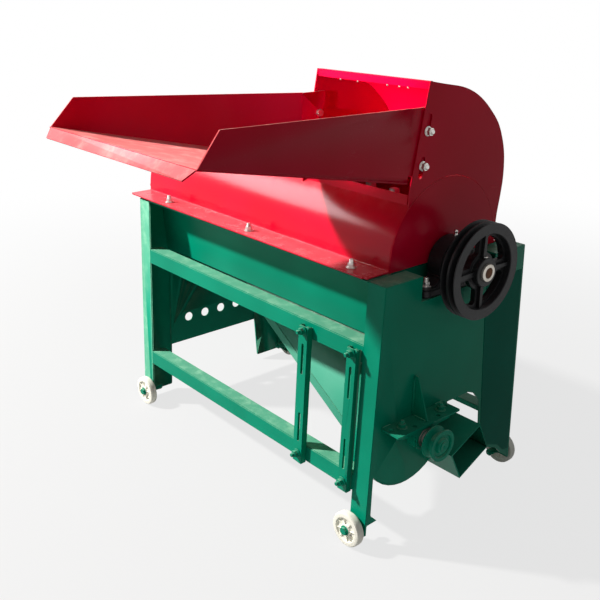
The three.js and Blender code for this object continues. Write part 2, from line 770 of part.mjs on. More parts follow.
function hoodOutline(inset) {
  const centre = [0, hoodBase + hoodHeight / 2];
  const pull = ([y, z]) => {
    const away = new THREE.Vector2(y - centre[0], z - centre[1]);
    const keep = (away.length() - inset) / away.length();
    return [centre[0] + away.x * keep, centre[1] + away.y * keep];
  };
  return [[hoodFrontY, hoodTop], ...hoodBack].map((point, index, list) => (
    index === list.length - 1 ? [point[0] - inset, point[1]] : pull(point)));
}

const traySlotsY = [-58, -68];
const upperSlotDrop = 27;
const lowerSlotRise = 20;
const traySlotsZ = [trayRearWallZ - upperSlotDrop, trayRearZ + lowerSlotRise];
const traySlotHalf = 12;
const upperBoltDrop = 9;
const lowerBoltRise = 3;
const trayBoltZ = [traySlotsZ[0] - upperBoltDrop, traySlotsZ[1] + lowerBoltRise];
const slotLean = 0.2;
function traySlotCuts(x) {
  return traySlotsY.map((y, index) => {
    const z = traySlotsZ[index];
    const radius = boltHole;
    const top = [y + slotLean * traySlotHalf, z + traySlotHalf];
    const low = [y - slotLean * traySlotHalf, z - traySlotHalf];
    const shape = outline([
      ...arc(top[0], top[1], radius, 0, 180, smallFacets / 2),
      ...arc(low[0], low[1], radius, 180, 360, smallFacets / 2),
    ]);
    return alongX(shape, x);
  });
}

const saddleStart = 135;
const sideRightX = [coverRightX, coverRightX + hoodSheet];
const sideLeftX = [hoodLeftX, hoodLeftX + hoodSheet];
function hoodSideRight() {
  const shape = [
    [-coverRadius, coverFlangeZ[0]],
    [hoodBack[hoodBack.length - 1][0], coverFlangeZ[0]],
    ...hoodOutline(0).reverse(),
    [hoodChinY, hoodChinZ],
    ...arc(0, coverAxisZ, coverRadius, saddleStart, 180, smallFacets),
  ];
  const x = [sideRightX[0] - overrun, sideRightX[1] + overrun];
  return cut(alongX(shape, sideRightX), rodX(shaftPass, x, 0, drumAxisZ), ...traySlotCuts(x));
}
add('hood_side_right', hoodSideRight(), redPaint);

function hoodSideLeft() {
  const shape = [
    [hoodBack[hoodBack.length - 1][0], hoodBase],
    ...hoodOutline(0).reverse(),
    [hoodChinY, hoodChinZ],
    [hoodChinY, coverAxisZ],
    [0, hoodBase],
  ];
  const x = [sideLeftX[0] - overrun, sideLeftX[1] + overrun];
  const saddle = rodX(coverRadius + gap, x, 0, coverAxisZ, fineFacets);
  const foot = block(x, [-coverRadius, coverRadius], [0, coverAxisZ]);
  return cut(alongX(shape, sideLeftX), saddle, foot, ...traySlotCuts(x));
}
add('hood_side_left', hoodSideLeft(), redPaint);

function hoodShell() {
  const x = [sideLeftX[1] + gap, sideRightX[0] - gap];
  const sheet = alongX([...hoodOutline(0), ...hoodOutline(hoodSheet).reverse()], x);
  const fascia = block(x, [hoodFrontY, hoodFrontY + hoodSheet], [hoodTop - fasciaHeight, hoodTop - gap]);
  const cylinder = rodX(coverRadius + gap, [x[0] - overrun, x[1] + overrun], 0, coverAxisZ, fineFacets);
  return cut(join(sheet, fascia), cylinder);
}
add('hood_shell', hoodShell(), redPaint);

// Feed tray: a flared floor with side walls, a turned lip in front and ears inside the hood
const earFoot = 38;
const earReach = 52;
const earStep = 10;
function feedTray() {
  const rear = [sideLeftX[1] + gap, sideRightX[0] - gap];
  const front = [rear[0] - trayFlare, rear[1] + trayFlare];
  const wallShare = (trayRearY - trayFrontWallY) / (trayRearY - trayFrontY);
  const topFront = [rear[0] - trayFlare * wallShare, rear[1] + trayFlare * wallShare];
  const floor = plate([
    [rear[1], trayRearY, trayRearZ],
    [front[1], trayFrontY, trayFrontZ],
    [front[0], trayFrontY, trayFrontZ],
    [rear[0], trayRearY, trayRearZ],
  ], traySheet);
  const inward = [seam, -seam];
  const walls = [0, 1].map((end) => {
    const points = [
      [rear[end], trayRearY, trayRearZ - traySheet / 2],
      [front[end], trayFrontY + seam, trayFrontZ - traySheet / 2],
      [topFront[end], trayFrontWallY, trayFrontWallZ],
      [rear[end], trayRearY, trayRearWallZ],
    ].map(([x, y, z]) => [x + inward[end], y, z]);
    return plate(end ? points : points.reverse(), traySheet);
  });
  const ears = [0, 1].map((end) => {
    const edge = rear[end] + inward[end];
    const x = end ? [edge - traySheet, edge] : [edge, edge + traySheet];
    return alongX([
      [trayRearY - traySheet, trayRearZ + earStep],
      [trayRearY + earFoot, trayRearZ + earStep],
      [trayRearY + earReach, trayRearWallZ - earStep],
      [trayRearY + earReach - traySheet, trayRearWallZ - seam],
      [trayRearY - traySheet, trayRearWallZ - seam],
    ], x);
  });
  const lip = plate([
    [front[1] - traySheet, trayFrontY + seam, trayFrontZ - seam],
    [front[1] - trayLip, trayFrontY - trayLip, trayFrontZ - trayLip],
    [front[0] + trayLip, trayFrontY - trayLip, trayFrontZ - trayLip],
    [front[0] + traySheet, trayFrontY + seam, trayFrontZ - seam],
  ], traySheet);
  const holes = traySlotsY.map((y, index) => rodX(boltHole, [0, frameLength], y + slotLean * (trayBoltZ[index]
    - traySlotsZ[index]), trayBoltZ[index], smallFacets));
  return cut(join(floor, ...walls, ...ears, lip), ...holes);
}
add('feed_tray', feedTray(), redPaint);

for (const [name, seats, direction] of [
  ['right', [sideRightX[0] - gap * 2 - seam - traySheet, sideRightX[1] + gap], 1],
  ['left', [sideLeftX[1] + gap * 2 + seam + traySheet, sideLeftX[0] - gap], -1],
]) {
  traySlotsY.forEach((y, index) => {
    const z = trayBoltZ[index];
    const place = [y + slotLean * (z - traySlotsZ[index]), z];
    add(`tray_bolt_${name}_${index ? 'lower' : 'upper'}`, boltSolid(rodAlongX, place, seats, direction),
      zincPlate);
  });
}

// Fan casing: a spiral housing with an inlet, a rectangular duct through its pulley side and a cross bar
const casingRightX = halfLength - endSheet - gap;
const inletRadius = 48;
const crossBarWidth = 30;
const ductInset = 24;
const spiralSteps = 40;
const spiralTurn = THREE.MathUtils.degToRad(200);
const fanBore = fanShaftDiameter / 2 + runningGap;
const legRoom = Math.min(legFace(fanAxisZ + casingLeastRadius), legFace(fanAxisZ - casingLeastRadius));
const casingFrontY = -(legRoom - endSheet - gap);
const casingStepY = -(legFace(lowerRailTop) - railSize - gap);
const casingStepX = flangeInner + gap;
function spiral(extra, frontY) {
  return Array.from({ length: spiralSteps }, (_, i) => {
    const turn = (2 * Math.PI * i) / spiralSteps;
    const share = 0.5 + 0.5 * Math.cos(turn - spiralTurn);
    const radius = casingLeastRadius + (casingMostRadius - casingLeastRadius) * share + extra;
    return [Math.max(fanAxisY + radius * Math.cos(turn), frontY - extra), fanAxisZ + radius * Math.sin(turn)];
  });
}

function ductOutline(inset) {
  const along = ductWidth / 2 - inset;
  const across = ductHeight / 2 - inset;
  const corner = (a, b) => [
    ductY + a * along * Math.cos(ductAngle) - b * across * Math.sin(ductAngle),
    ductZ + a * along * Math.sin(ductAngle) + b * across * Math.cos(ductAngle),
  ];
  return [corner(-1, -1), corner(1, -1), corner(1, 1), corner(-1, 1)];
}

function fanCasing() {
  const ductBackX = casingLeftX + ductInset;
  const outer = join(
    alongX(spiral(0, casingStepY), [casingLeftX, casingRightX]),
    alongX(spiral(0, casingFrontY), [casingStepX, casingRightX]),
    alongX(ductOutline(0), [ductBackX, ductFaceX]),
  );
  const inner = join(
    alongX(spiral(-casingSheet, casingStepY), [casingLeftX + casingSheet, casingRightX - casingSheet]),
    alongX(spiral(-casingSheet, casingFrontY), [casingStepX + casingSheet, casingRightX - casingSheet]),
    alongX(ductOutline(casingSheet), [ductBackX + casingSheet, ductFaceX + overrun]),
  );
  const inlet = rodX(inletRadius, [casingLeftX - overrun, casingLeftX + casingSheet + overrun],
    fanAxisY, fanAxisZ);
  const crossBar = block([casingLeftX, casingLeftX + casingSheet * 2],
    [fanAxisY - crossBarWidth / 2, fanAxisY + crossBarWidth / 2],
    [fanAxisZ - inletRadius - overrun, fanAxisZ + inletRadius + overrun]);
  const shaftWay = rodX(fanBore, [casingLeftX - overrun, casingRightX + overrun],
    fanAxisY, fanAxisZ, smallFacets);
  return cut(join(cut(outer, inner, inlet), crossBar), shaftWay);
}
add('fan_casing', fanCasing(), greenPaint);

// Shelf with its gusset on the right end plate, and the bearing that hangs under it
const shelfDepth = 40;
const shelfHalf = 76;
const shelfSheet = 3;
const gussetHeight = 74;
const gussetReach = 34;
const gussetLap = 1;
const fanBoltPitch = 95;
const shelfX = [halfLength + gap, halfLength + gap + shelfDepth];
const fanBearingX = (shelfX[0] + shelfX[1]) / 2;
const fanBoltYs = [-1, 1].map((side) => fanAxisY + (side * fanBoltPitch) / 2);

function fanShelf() {
  const shelf = block(shelfX, [fanAxisY - shelfHalf, fanAxisY + shelfHalf],
    [shelfTop - shelfSheet, shelfTop]);
  const gusset = alongY([
    [shelfX[0], shelfTop - gussetLap],
    [shelfX[0] + gussetReach, shelfTop - gussetLap],
    [shelfX[0] + shelfSheet * 2, shelfTop + gussetHeight],
    [shelfX[0], shelfTop + gussetHeight],
  ], [fanAxisY - shelfSheet / 2, fanAxisY + shelfSheet / 2]);
  const holes = fanBoltYs.map((y) => rodZ(boltHole, fanBearingX, y, [shelfTop - shelfSheet - overrun,
    shelfTop + overrun], smallFacets));
  return cut(join(shelf, gusset), ...holes);
}
add('fan_shelf', fanShelf(), greenPaint);

const fanFootHalf = 62;
const fanFootHeight = 11;
const fanBodyRadius = 24;
const fanBlockDepth = 28;
function fanBearing() {
  const x = [fanBearingX - fanBlockDepth / 2, fanBearingX + fanBlockDepth / 2];
  const top = shelfTop - shelfSheet - gap;
  const foot = block(x, [fanAxisY - fanFootHalf, fanAxisY + fanFootHalf], [top - fanFootHeight, top]);
  const web = block(x, [fanAxisY - fanBodyRadius, fanAxisY + fanBodyRadius], [fanAxisZ, top]);
  const round = rodX(fanBodyRadius, x, fanAxisY, fanAxisZ, middleFacets);
  const bore = rodX(fanBore, [x[0] - overrun, x[1] + overrun], fanAxisY, fanAxisZ, smallFacets);
  const holes = fanBoltYs.map((y) => rodZ(boltHole, fanBearingX, y,
    [top - fanFootHeight - overrun, top + overrun], smallFacets));
  return cut(join(foot, web, round), bore, ...holes);
}
add('fan_bearing', fanBearing(), greenPaint);

fanBoltYs.forEach((y, index) => {
  const seats = [shelfTop - shelfSheet - gap * 2 - fanFootHeight, shelfTop + gap];
  add(`fan_bolt_${index ? 'back' : 'front'}`, boltSolid(rodAlongZ, [fanBearingX, y], seats, 1), greenPaint);
});

// Fan rotor: shaft, impeller and small pulley
const fanShaftTail = 8;
const fanShaftTip = 3;
const fanShaftX = [casingLeftX - fanShaftTail, fanPulleyFaceX + fanShaftTip];
add('fan_shaft', rodX(fanShaftDiameter / 2, fanShaftX, fanAxisY, fanAxisZ, smallFacets), bareSteel);

const impellerLeftInset = 14;
const impellerRightInset = 12;
const impellerX = [casingLeftX + impellerLeftInset, casingRightX - impellerRightInset];
const impellerHub = 18;
const bladeTip = 62;
const bladeCount = 6;
const bladeSheet = 3;
function impeller() {
  const bore = rodX(fanShaftDiameter / 2 + pressGap, [impellerX[0] - overrun, impellerX[1] + overrun],
    fanAxisY, fanAxisZ, smallFacets);
  const hub = rodX(impellerHub, impellerX, fanAxisY, fanAxisZ, smallFacets);
  const blades = Array.from({ length: bladeCount }, (_, i) => {
    const turn = (2 * Math.PI * i) / bladeCount;
    const [c, s] = [Math.cos(turn), Math.sin(turn)];
    const place = (r, w) => [fanAxisY + r * c - w * s, fanAxisZ + r * s + w * c];
    const root = impellerHub - bladeSheet;
    const half = bladeSheet / 2;
    const corners = [place(root, -half), place(bladeTip, -half), place(bladeTip, half), place(root, half)];
    return alongX(corners, impellerX);
  });
  return cut(join(hub, ...blades), bore);
}
add('fan_impeller', impeller(), bareSteel);

// Grooved pulleys: a profile of radius and X with V grooves cut into the rim
const grooveLandShare = 0.12;
const grooveFloorShare = 0.16;
function groovedRim(radius, inner, x, grooves, depth) {
  const width = x[1] - x[0];
  const pitch = width / grooves;
  const land = pitch * grooveLandShare;
  const bottom = pitch * grooveFloorShare;
  const points = [[inner, x[0]], [radius, x[0]]];
  for (let i = 0; i < grooves; i += 1) {
    const middle = x[0] + pitch * (i + 0.5);
    points.push([radius, middle - pitch / 2 + land], [radius - depth, middle - bottom],
      [radius - depth, middle + bottom], [radius, middle + pitch / 2 - land]);
  }
  points.push([radius, x[1]], [inner, x[1]]);
  return points;
}

const fanPulleyX = [fanPulleyFaceX - fanPulleyWidth, fanPulleyFaceX];
const fanGroove = 9;
const fanRim = groovedRim(fanPulleyRadius, fanShaftDiameter / 2 + pressGap, fanPulleyX, 1, fanGroove);
add('fan_pulley', turnedX(fanRim, fanAxisY, fanAxisZ, middleFacets), greenPaint);

// Drum rotor: shaft, tube with end discs, toothed bars and the main pulley
const shaftTail = 4;
const shaftTip = 5;
const shaftX = [bridgeLeftX - shaftTail, pulleyFaceX + shaftTip];
add('drum_shaft', rodX(shaftDiameter / 2, shaftX, 0, drumAxisZ, middleFacets), bareSteel);

const drumLeftInset = 28;
const drumRightInset = 10;
const drumX = [screenLeftX + drumLeftInset, screenRightX - drumRightInset];
const discSheet = 6;
const discHoleRadius = 12;
const toothLap = 1;
const paddleSheet = 4.6;
function drumTube() {
  const outer = rodX(drumTubeRadius, drumX, 0, drumAxisZ, middleFacets);
  const inner = rodX(drumTubeRadius - drumTubeSheet, [drumX[0] + discSheet, drumX[1] - discSheet],
    0, drumAxisZ, middleFacets);
  const bore = rodX(shaftDiameter / 2 + pressGap, [drumX[0] - overrun, drumX[1] + overrun],
    0, drumAxisZ, middleFacets);
  const holes = Array.from({ length: barCount }, (_, i) => {
    const turn = (2 * Math.PI * (i + 0.5)) / barCount;
    const r = (drumTubeRadius + shaftDiameter / 2) / 2;
    return rodX(discHoleRadius, [drumX[0] - overrun, drumX[1] + overrun],
      r * Math.cos(turn), drumAxisZ + r * Math.sin(turn), smallFacets);
  });
  return cut(outer, inner, bore, ...holes);
}
add('drum_tube', drumTube(), bareSteel);

function toothedBar(index) {
  const turn = (2 * Math.PI * index) / barCount;
  const base = drumTubeRadius + gap;
  const half = drumBarWidth / 2;
  const bar = block(drumX, [-half, half], [base, base + drumBarHeight]);
  const first = drumX[0] + paddleLength + toothLength;
  const pitch = (drumX[1] - toothLength - first) / (teethPerBar - 0.5);
  const teeth = Array.from({ length: teethPerBar }, (_, i) => {
    const x = first + pitch * (i + (index % 2) / 2);
    return block([x - toothLength / 2, x + toothLength / 2], [-toothWidth / 2, toothWidth / 2],
      [base + drumBarHeight - toothLap, toothTipRadius]);
  });
  const paddle = block([drumX[0], drumX[0] + paddleLength], [-paddleSheet / 2, paddleSheet / 2],
    [base + drumBarHeight - toothLap, toothTipRadius]);
  const turned = new THREE.Matrix4().makeRotationX(turn).setPosition(0, 0, drumAxisZ);
  return join(bar, ...teeth, paddle).transform(turned.toArray());
}
for (let i = 0; i < barCount; i += 1) {
  add(`drum_bar_${i + 1}`, toothedBar(i), bareSteel);
}

const rimDepth = 17;
const rimInner = pulleyRadius - rimDepth;
const pulleyGroove = 10;
const hubRadius = 25;
const hubBack = 4;
const hubFront = 1;
const hubX = [pulleyFaceX - pulleyWidth - hubBack, pulleyFaceX + hubFront];
const armWidth = 20;
const armDepth = 14;
const armRib = 6;
const armLap = 2;
function mainPulley() {
  const x = [pulleyFaceX - pulleyWidth, pulleyFaceX];
  const rim = turnedX(groovedRim(pulleyRadius, rimInner, x, 2, pulleyGroove), 0, drumAxisZ, fineFacets);
  const hub = rodX(hubRadius, hubX, 0, drumAxisZ, middleFacets);
  const middle = (x[0] + x[1]) / 2;
  const arms = [0, 1].flatMap((i) => {
    const long = [-rimInner - armLap, rimInner + armLap];
    const flat = block([middle - armDepth / 2, middle + armDepth / 2 - armRib],
      [-armWidth / 2, armWidth / 2], long);
    const rib = block([middle - armDepth / 2, middle + armDepth / 2], [-armRib / 2, armRib / 2], long);
    const turned = new THREE.Matrix4().makeRotationX((Math.PI * i) / 2).setPosition(0, 0, drumAxisZ);
    return [flat, rib].map((piece) => piece.transform(turned.toArray()));
  });
  const bore = rodX(shaftDiameter / 2 + pressGap, [hubX[0] - overrun, hubX[1] + overrun], 0, drumAxisZ,
    middleFacets);
  return cut(join(rim, hub, ...arms), bore);
}
add('main_pulley', mainPulley(), blackPaint);

// Wheels on bolts through the feet of the legs
const wheelGap = 3;
const bossGap = 1;
const treadDrop = 2;
const rimLedge = 23;
const hubBoss = 11;
const dish = 3;
const axleHead = 7.5;
const axleHeadHeight = 5.4;
const axleNutLength = 22;
const axleTip = 4;
const wheelInnerY = legFace(axleZ) + wheelGap;
const wheelOuterY = wheelInnerY + wheelWidth;
const axleRadius = axleDiameter / 2;
const bossInnerY = legFace(axleZ) + bossGap;

for (const [endName, end] of [['left', -1], ['right', 1]]) {
  for (const [sideName, side] of [['front', -1], ['back', 1]]) {
    const x = end * axleX;
    const profile = [
      [axleRadius + runningGap, bossInnerY],
      [hubBoss, bossInnerY],
      [hubBoss, wheelInnerY + dish],
      [rimLedge, wheelInnerY + dish],
      [rimLedge, wheelInnerY],
      [wheelRadius - treadDrop, wheelInnerY],
      [wheelRadius, wheelInnerY + treadDrop * 2],
      [wheelRadius, wheelOuterY - treadDrop * 2],
      [wheelRadius - treadDrop, wheelOuterY],
      [rimLedge, wheelOuterY],
      [rimLedge, wheelOuterY - dish],
      [hubBoss, wheelOuterY - dish],
      [hubBoss, wheelOuterY],
      [axleRadius + runningGap, wheelOuterY],
    ].map(([radius, y]) => [radius, side * y]);
    add(`wheel_${endName}_${sideName}`, turnedY(profile, x, axleZ, middleFacets), nylon);
    const place = [x, axleZ];
    const span = (from, to) => [Math.min(side * from, side * to), Math.max(side * from, side * to)];
    const headSeat = wheelOuterY + gap;
    const head = rodAlongY(axleHead, span(headSeat, headSeat + axleHeadHeight), place, hexFacets);
    const nutSeat = legFace(axleZ) - endSheet - gap - legSlope * axleHead;
    const nut = rodAlongY(axleHead, span(nutSeat - axleNutLength, nutSeat), place, hexFacets);
    const pin = rodAlongY(axleRadius, span(nutSeat - axleNutLength - axleTip, wheelOuterY + gap * 2), place,
      smallFacets);
    add(`wheel_bolt_${endName}_${sideName}`, join(head, nut, pin), greenPaint);
  }
}

// The origin at the bottom centre of the whole machine
const reach = {
  left: shaftX[0],
  right: fanShaftX[1],
  front: trayFrontY - trayLip,
  back: wheelOuterY + gap + axleHeadHeight,
};
machine.position.set(-(reach.left + reach.right) / 2, -(reach.front + reach.back) / 2, 0);

export default machine;
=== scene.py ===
import json
import math

import bmesh
import bpy
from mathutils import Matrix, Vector
from mathutils.geometry import tessellate_polygon


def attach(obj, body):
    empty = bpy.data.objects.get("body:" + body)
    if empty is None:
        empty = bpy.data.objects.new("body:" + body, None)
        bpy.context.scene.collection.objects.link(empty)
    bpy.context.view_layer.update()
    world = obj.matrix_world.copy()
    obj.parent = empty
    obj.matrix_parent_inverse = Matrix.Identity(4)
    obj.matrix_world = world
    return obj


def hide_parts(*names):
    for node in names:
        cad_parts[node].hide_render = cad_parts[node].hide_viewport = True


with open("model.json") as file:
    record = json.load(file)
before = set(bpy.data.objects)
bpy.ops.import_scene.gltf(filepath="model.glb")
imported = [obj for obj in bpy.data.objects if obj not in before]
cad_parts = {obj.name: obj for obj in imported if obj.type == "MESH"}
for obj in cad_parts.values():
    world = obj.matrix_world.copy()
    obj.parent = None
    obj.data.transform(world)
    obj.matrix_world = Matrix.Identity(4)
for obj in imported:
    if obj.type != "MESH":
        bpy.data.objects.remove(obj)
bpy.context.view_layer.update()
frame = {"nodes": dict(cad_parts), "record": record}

MM = 0.001
FRAME_MIDDLE = Vector((1.5, 153.842, 0.0))
TURN = 2 * math.pi

# Axes that run along X, as places (y, z), and faces that several pieces stand on
DRUM_AXIS = (0, 475)
FAN_AXIS = (-96, 199)
END_FACE = 370.3
FAN_BEARING_X = 390.3
FRAME_TOP = 475
LEG_REACH = 174.5
LEG_LEAN = 0.05902


def set_down(point):
    return (Vector(point) + FRAME_MIDDLE) * MM


def leg_face(z):
    """How far out a leg's face stands at a height."""
    return LEG_REACH + LEG_LEAN * (FRAME_TOP - z)


# Finishes


class Field:
    """A number that varies over a surface. Sums on it add nodes to its tree."""

    def __init__(self, owner, socket):
        self.owner = owner
        self.socket = socket

    def sum_with(self, operation, other):
        return self.owner.node("ShaderNodeMath", {"operation": operation}, {0: self, 1: other})

    def __add__(self, other):
        return self.sum_with("ADD", other)

    __radd__ = __add__

    def __mul__(self, other):
        return self.sum_with("MULTIPLY", other)

    __rmul__ = __mul__

    def most(self, other):
        return self.sum_with("MAXIMUM", other)

    def step(self, low, high, least=0.0):
        """The least below low, 1 above high, and smooth between them."""
        return self.owner.node(
            "ShaderNodeMapRange",
            {"interpolation_type": "SMOOTHSTEP"},
            {"Value": self, "From Min": low, "From Max": high, "To Min": least},
        )


class Nodes:
    """A tree of shader nodes, all made by one method."""

    def __init__(self, tree):
        self.tree = tree

    def node(self, kind, settings, sockets, output=0):
        made = self.tree.nodes.new(kind)
        for name, value in settings.items():
            setattr(made, name, value)
        for name, value in sockets.items():
            self.join(made.inputs[name], value)
        return Field(self, made.outputs[output])

    def join(self, socket, value):
        if isinstance(value, Field):
            self.tree.links.new(value.socket, socket)
        elif isinstance(value, tuple) and socket.type == "RGBA":
            socket.default_value = (*value, 1.0)
        else:
            socket.default_value = value

    def ray(self, kind):
        """1 for one kind of ray, and 0 for the others."""
        return self.node("ShaderNodeLightPath", {}, {}, f"Is {kind} Ray")

    def either(self, share, first, second):
        """One shader or the other, by a share."""
        return self.node("ShaderNodeMixShader", {}, {0: share, 1: first, 2: second})


class Finish(Nodes):
    """A paint, metal or plastic: one shader, with what varies over the surface fed to it."""

    def __init__(self, name, slot, **sockets):
        self.material = bpy.data.materials.new(name)
        self.material.use_nodes = True
        super().__init__(self.material.node_tree)
        self.shader = self.tree.nodes["Principled BSDF"]
        self.slot = slot
        self.feed(**sockets)
        self.coordinates = self.node("ShaderNodeTexCoord", {}, {}, "Object")

    def feed(self, **sockets):
        for name, value in sockets.items():
            self.join(self.shader.inputs[name.replace("_", " ")], value)

    def noise(self, scale, detail, roughness=0.5, at=None):
        place = at or self.coordinates
        return self.node(
            "ShaderNodeTexNoise",
            {},
            {"Vector": place, "Scale": scale, "Detail": detail, "Roughness": roughness},
        )

    def stretched(self, x, y, z):
        """Places squeezed along the axes, for scratches and brush marks."""
        return self.node(
            "ShaderNodeVectorMath", {"operation": "MULTIPLY"}, {0: self.coordinates, 1: (x, y, z)}
        )

    def mix(self, share, first, second):
        return self.node(
            "ShaderNodeMix",
            {"data_type": "RGBA"},
            {"Factor": share, "A": first, "B": second},
            "Result",
        )

    def z_of(self, place):
        return self.node("ShaderNodeSeparateXYZ", {}, {0: place}, "Z")

    def upward(self, normal):
        """How far the surface faces up, by its smoothed normal or its true one."""
        return self.z_of(self.node("ShaderNodeNewGeometry", {}, {}, normal))

    def bump(self, height, strength, distance):
        return self.node(
            "ShaderNodeBump", {}, {"Height": height, "Strength": strength, "Distance": distance}
        )


# How far up a face looks where the dust, on the tray also a painted highlight, begins to lie and
# where it lies fully.
FACING_UP_SLOPE = (0.45, 0.97)
# Painted shade: the height over which a paint turns dark, and the dark colour it turns to.
SHADE_FADE = 0.015
DEEP_SHADE = (0.0, 0.02, 0.012)


def gloss_paint(
    name, slot, tones, dust, roughness, shine, dust_and_highlight_amount=1.0, painted_shade_above=None, normal="Normal"
):
    """Sprayed paint over sheet steel: slow change of tone, orange peel, dust on top, rubbed spots.

    Above a height given in metres, the colour turns to DEEP_SHADE: painted shade where the part
    stands under what covers it.
    """
    paint = Finish(name, slot, Metallic=0.0, Specular_IOR_Level=shine)
    cloud = paint.noise(5.0, 2.0)
    speck = paint.noise(420.0, 2.0, 0.6)
    settle = paint.noise(38.0, 4.0, 0.65)
    # Dust on faces that look up; where its tone is pale and laid on thick, as on the tray's floor,
    # it is partly a painted highlight.
    on_top = paint.upward(normal).step(*FACING_UP_SLOPE)
    thick = 0.32 + settle.step(0.42, 0.75) * 0.35
    dust_and_highlight_share = on_top * thick * dust_and_highlight_amount + settle.step(0.66, 0.82) * 0.04
    rub = paint.noise(9.0, 5.0, 0.7, at=paint.stretched(1.0, 1.0, 3.5)).step(0.62, 0.78)
    body = paint.mix(cloud.step(0.3, 0.7), *tones)
    # Painted shade: above the given height the colour is mixed to DEEP_SHADE.
    if painted_shade_above:
        painted_shade_share = paint.z_of(paint.coordinates).step(painted_shade_above, painted_shade_above + SHADE_FADE)
        body = paint.mix(painted_shade_share, body, DEEP_SHADE)
    paint.feed(
        Base_Color=paint.mix(dust_and_highlight_share, body, dust),
        Roughness=roughness + speck * 0.05 + dust_and_highlight_share * 0.3 + rub * 0.07,
        Normal=paint.bump(paint.noise(260.0, 1.0), 0.1, 0.0004),
    )
    return paint


def cast_black():
    """Satin black paint over a rough casting."""
    paint = Finish("cast_black_paint", "black_paint", Metallic=0.0, Specular_IOR_Level=0.22)
    grain = paint.noise(900.0, 3.0, 0.7)
    blotch = paint.noise(60.0, 3.0)
    dust = paint.noise(30.0, 5.0, 0.7).step(0.5, 0.8)
    paint.feed(
        Base_Color=paint.mix(dust * 0.35, (0.008, 0.008, 0.009), (0.035, 0.031, 0.028)),
        Roughness=0.34 + blotch * 0.2,
        Normal=paint.bump(grain + blotch * 0.6, 0.35, 0.0006),
    )
    return paint


def bright_metal(name, slot, light, dark, roughness, stain):
    """Plated or machined steel with fine lines and a little stain."""
    metal = Finish(name, slot, Metallic=1.0)
    lines = metal.noise(300.0, 3.0, 0.6, at=metal.stretched(1.0, 0.15, 1.0))
    blotch = metal.noise(45.0, 4.0, 0.6)
    metal.feed(
        Base_Color=metal.mix(blotch.step(0.5 - stain, 0.75), light, dark),
        Roughness=roughness + lines * 0.15 + blotch * 0.12,
        Normal=metal.bump(lines, 0.1, 0.0002),
    )
    return metal


def moulded_nylon():
    """Off-white nylon with flow marks, and a tread that has picked up dirt."""
    plastic = Finish("moulded_nylon", "nylon", Metallic=0.0, Specular_IOR_Level=0.4)
    flow = plastic.noise(26.0, 3.0)
    dirt = plastic.noise(120.0, 5.0, 0.7).step(0.55, 0.8)
    clean_tone = plastic.mix(flow, (0.80, 0.78, 0.68), (0.88, 0.86, 0.76))
    plastic.feed(
        Base_Color=plastic.mix(dirt * 0.35, clean_tone, (0.42, 0.36, 0.28)),
        Roughness=0.38 + flow * 0.15 + dirt * 0.2,
        Normal=plastic.bump(plastic.noise(500.0, 2.0), 0.15, 0.0003),
    )
    return plastic


RED = ((0.56, 0.0, 0.019), (0.65, 0.001, 0.03))
GREEN = ((0.0, 0.20, 0.115), (0.001, 0.255, 0.15))
# A darker green than the plate's, for the back leg's strip.
LEG_TONES = ((0.0, 0.12, 0.075), (0.0, 0.155, 0.1))
# A paler green for the slide, partly for its dust and partly as painted light.
SLIDE_DUST_AND_PAINTED_LIGHT_TONES = ((0.05, 0.32, 0.21), (0.12, 0.40, 0.28))
# Height in metres above which the slide's sides are painted in shade, where they stand under what
# covers them.
SLIDE_PAINTED_SHADE_FROM = 0.318

red = gloss_paint("red_paint", "red_paint", RED, (0.78, 0.30, 0.31), 0.22, 0.08, 0.8)
green = gloss_paint("green_paint", "green_paint", GREEN, (0.30, 0.58, 0.40), 0.28, 0.06)
plain_green = gloss_paint(
    "plain_green", "green_paint", GREEN, (0.16, 0.38, 0.27), 0.26, 0.08, 0.35
)
leg_green = gloss_paint("leg_green", "green_paint", LEG_TONES, (0.2, 0.4, 0.3), 0.3, 0.02)
# The tray's paler, thicker dust on its floor is partly dust and partly a painted highlight.
tray_red_dust_and_highlight = gloss_paint(
    "tray_red_dust_and_highlight", "red_paint", RED, (0.93, 0.42, 0.38), 0.24, 0.06, 1.3, normal="True Normal"
)
cover_red = gloss_paint("cover_red", "red_paint", RED, (0.80, 0.32, 0.33), 0.17, 0.2, 0.5)
slide_green = gloss_paint(
    "slide_green", "green_paint", SLIDE_DUST_AND_PAINTED_LIGHT_TONES, (0.36, 0.62, 0.45), 0.4, 0.06,
    painted_shade_above=SLIDE_PAINTED_SHADE_FROM,
)
black = cast_black()
nylon = moulded_nylon()

ZINC = ((0.68, 0.67, 0.64), (0.42, 0.41, 0.38))
MILL_STEEL = ((0.34, 0.335, 0.33), (0.20, 0.17, 0.15))
TURNED_STEEL = ((0.50, 0.47, 0.42), (0.30, 0.27, 0.23))
RUST = ((0.10, 0.05, 0.03), (0.05, 0.03, 0.02))

zinc = bright_metal("zinc_plate", "zinc_plate", *ZINC, roughness=0.22, stain=0.1)
steel = bright_metal("mill_steel", "bare_steel", *MILL_STEEL, roughness=0.32, stain=0.2)
shaft_steel = bright_metal("turned_steel", "bare_steel", *TURNED_STEEL, roughness=0.24, stain=0.15)
rust = bright_metal("greasy_rust", "bare_steel", *RUST, roughness=0.5, stain=0.2)

FINISH_OF_SLOT = {
    "red_paint": red,
    "green_paint": green,
    "black_paint": black,
    "zinc_plate": zinc,
    "bare_steel": steel,
    "nylon": nylon,
}
SLOT_OF_NODE = {row["node"]: row["material_slot"] for row in frame["record"]["subparts"]}
BODY_OF_NODE = {
    node: body for body, nodes in frame["record"]["behaviour"]["bodies"].items() for node in nodes
}


def finish_of(node):
    return FINISH_OF_SLOT[SLOT_OF_NODE[node]]


for node, thing in frame["nodes"].items():
    thing.data.materials.clear()
    thing.data.materials.append(finish_of(node).material)


# Lines and outlines


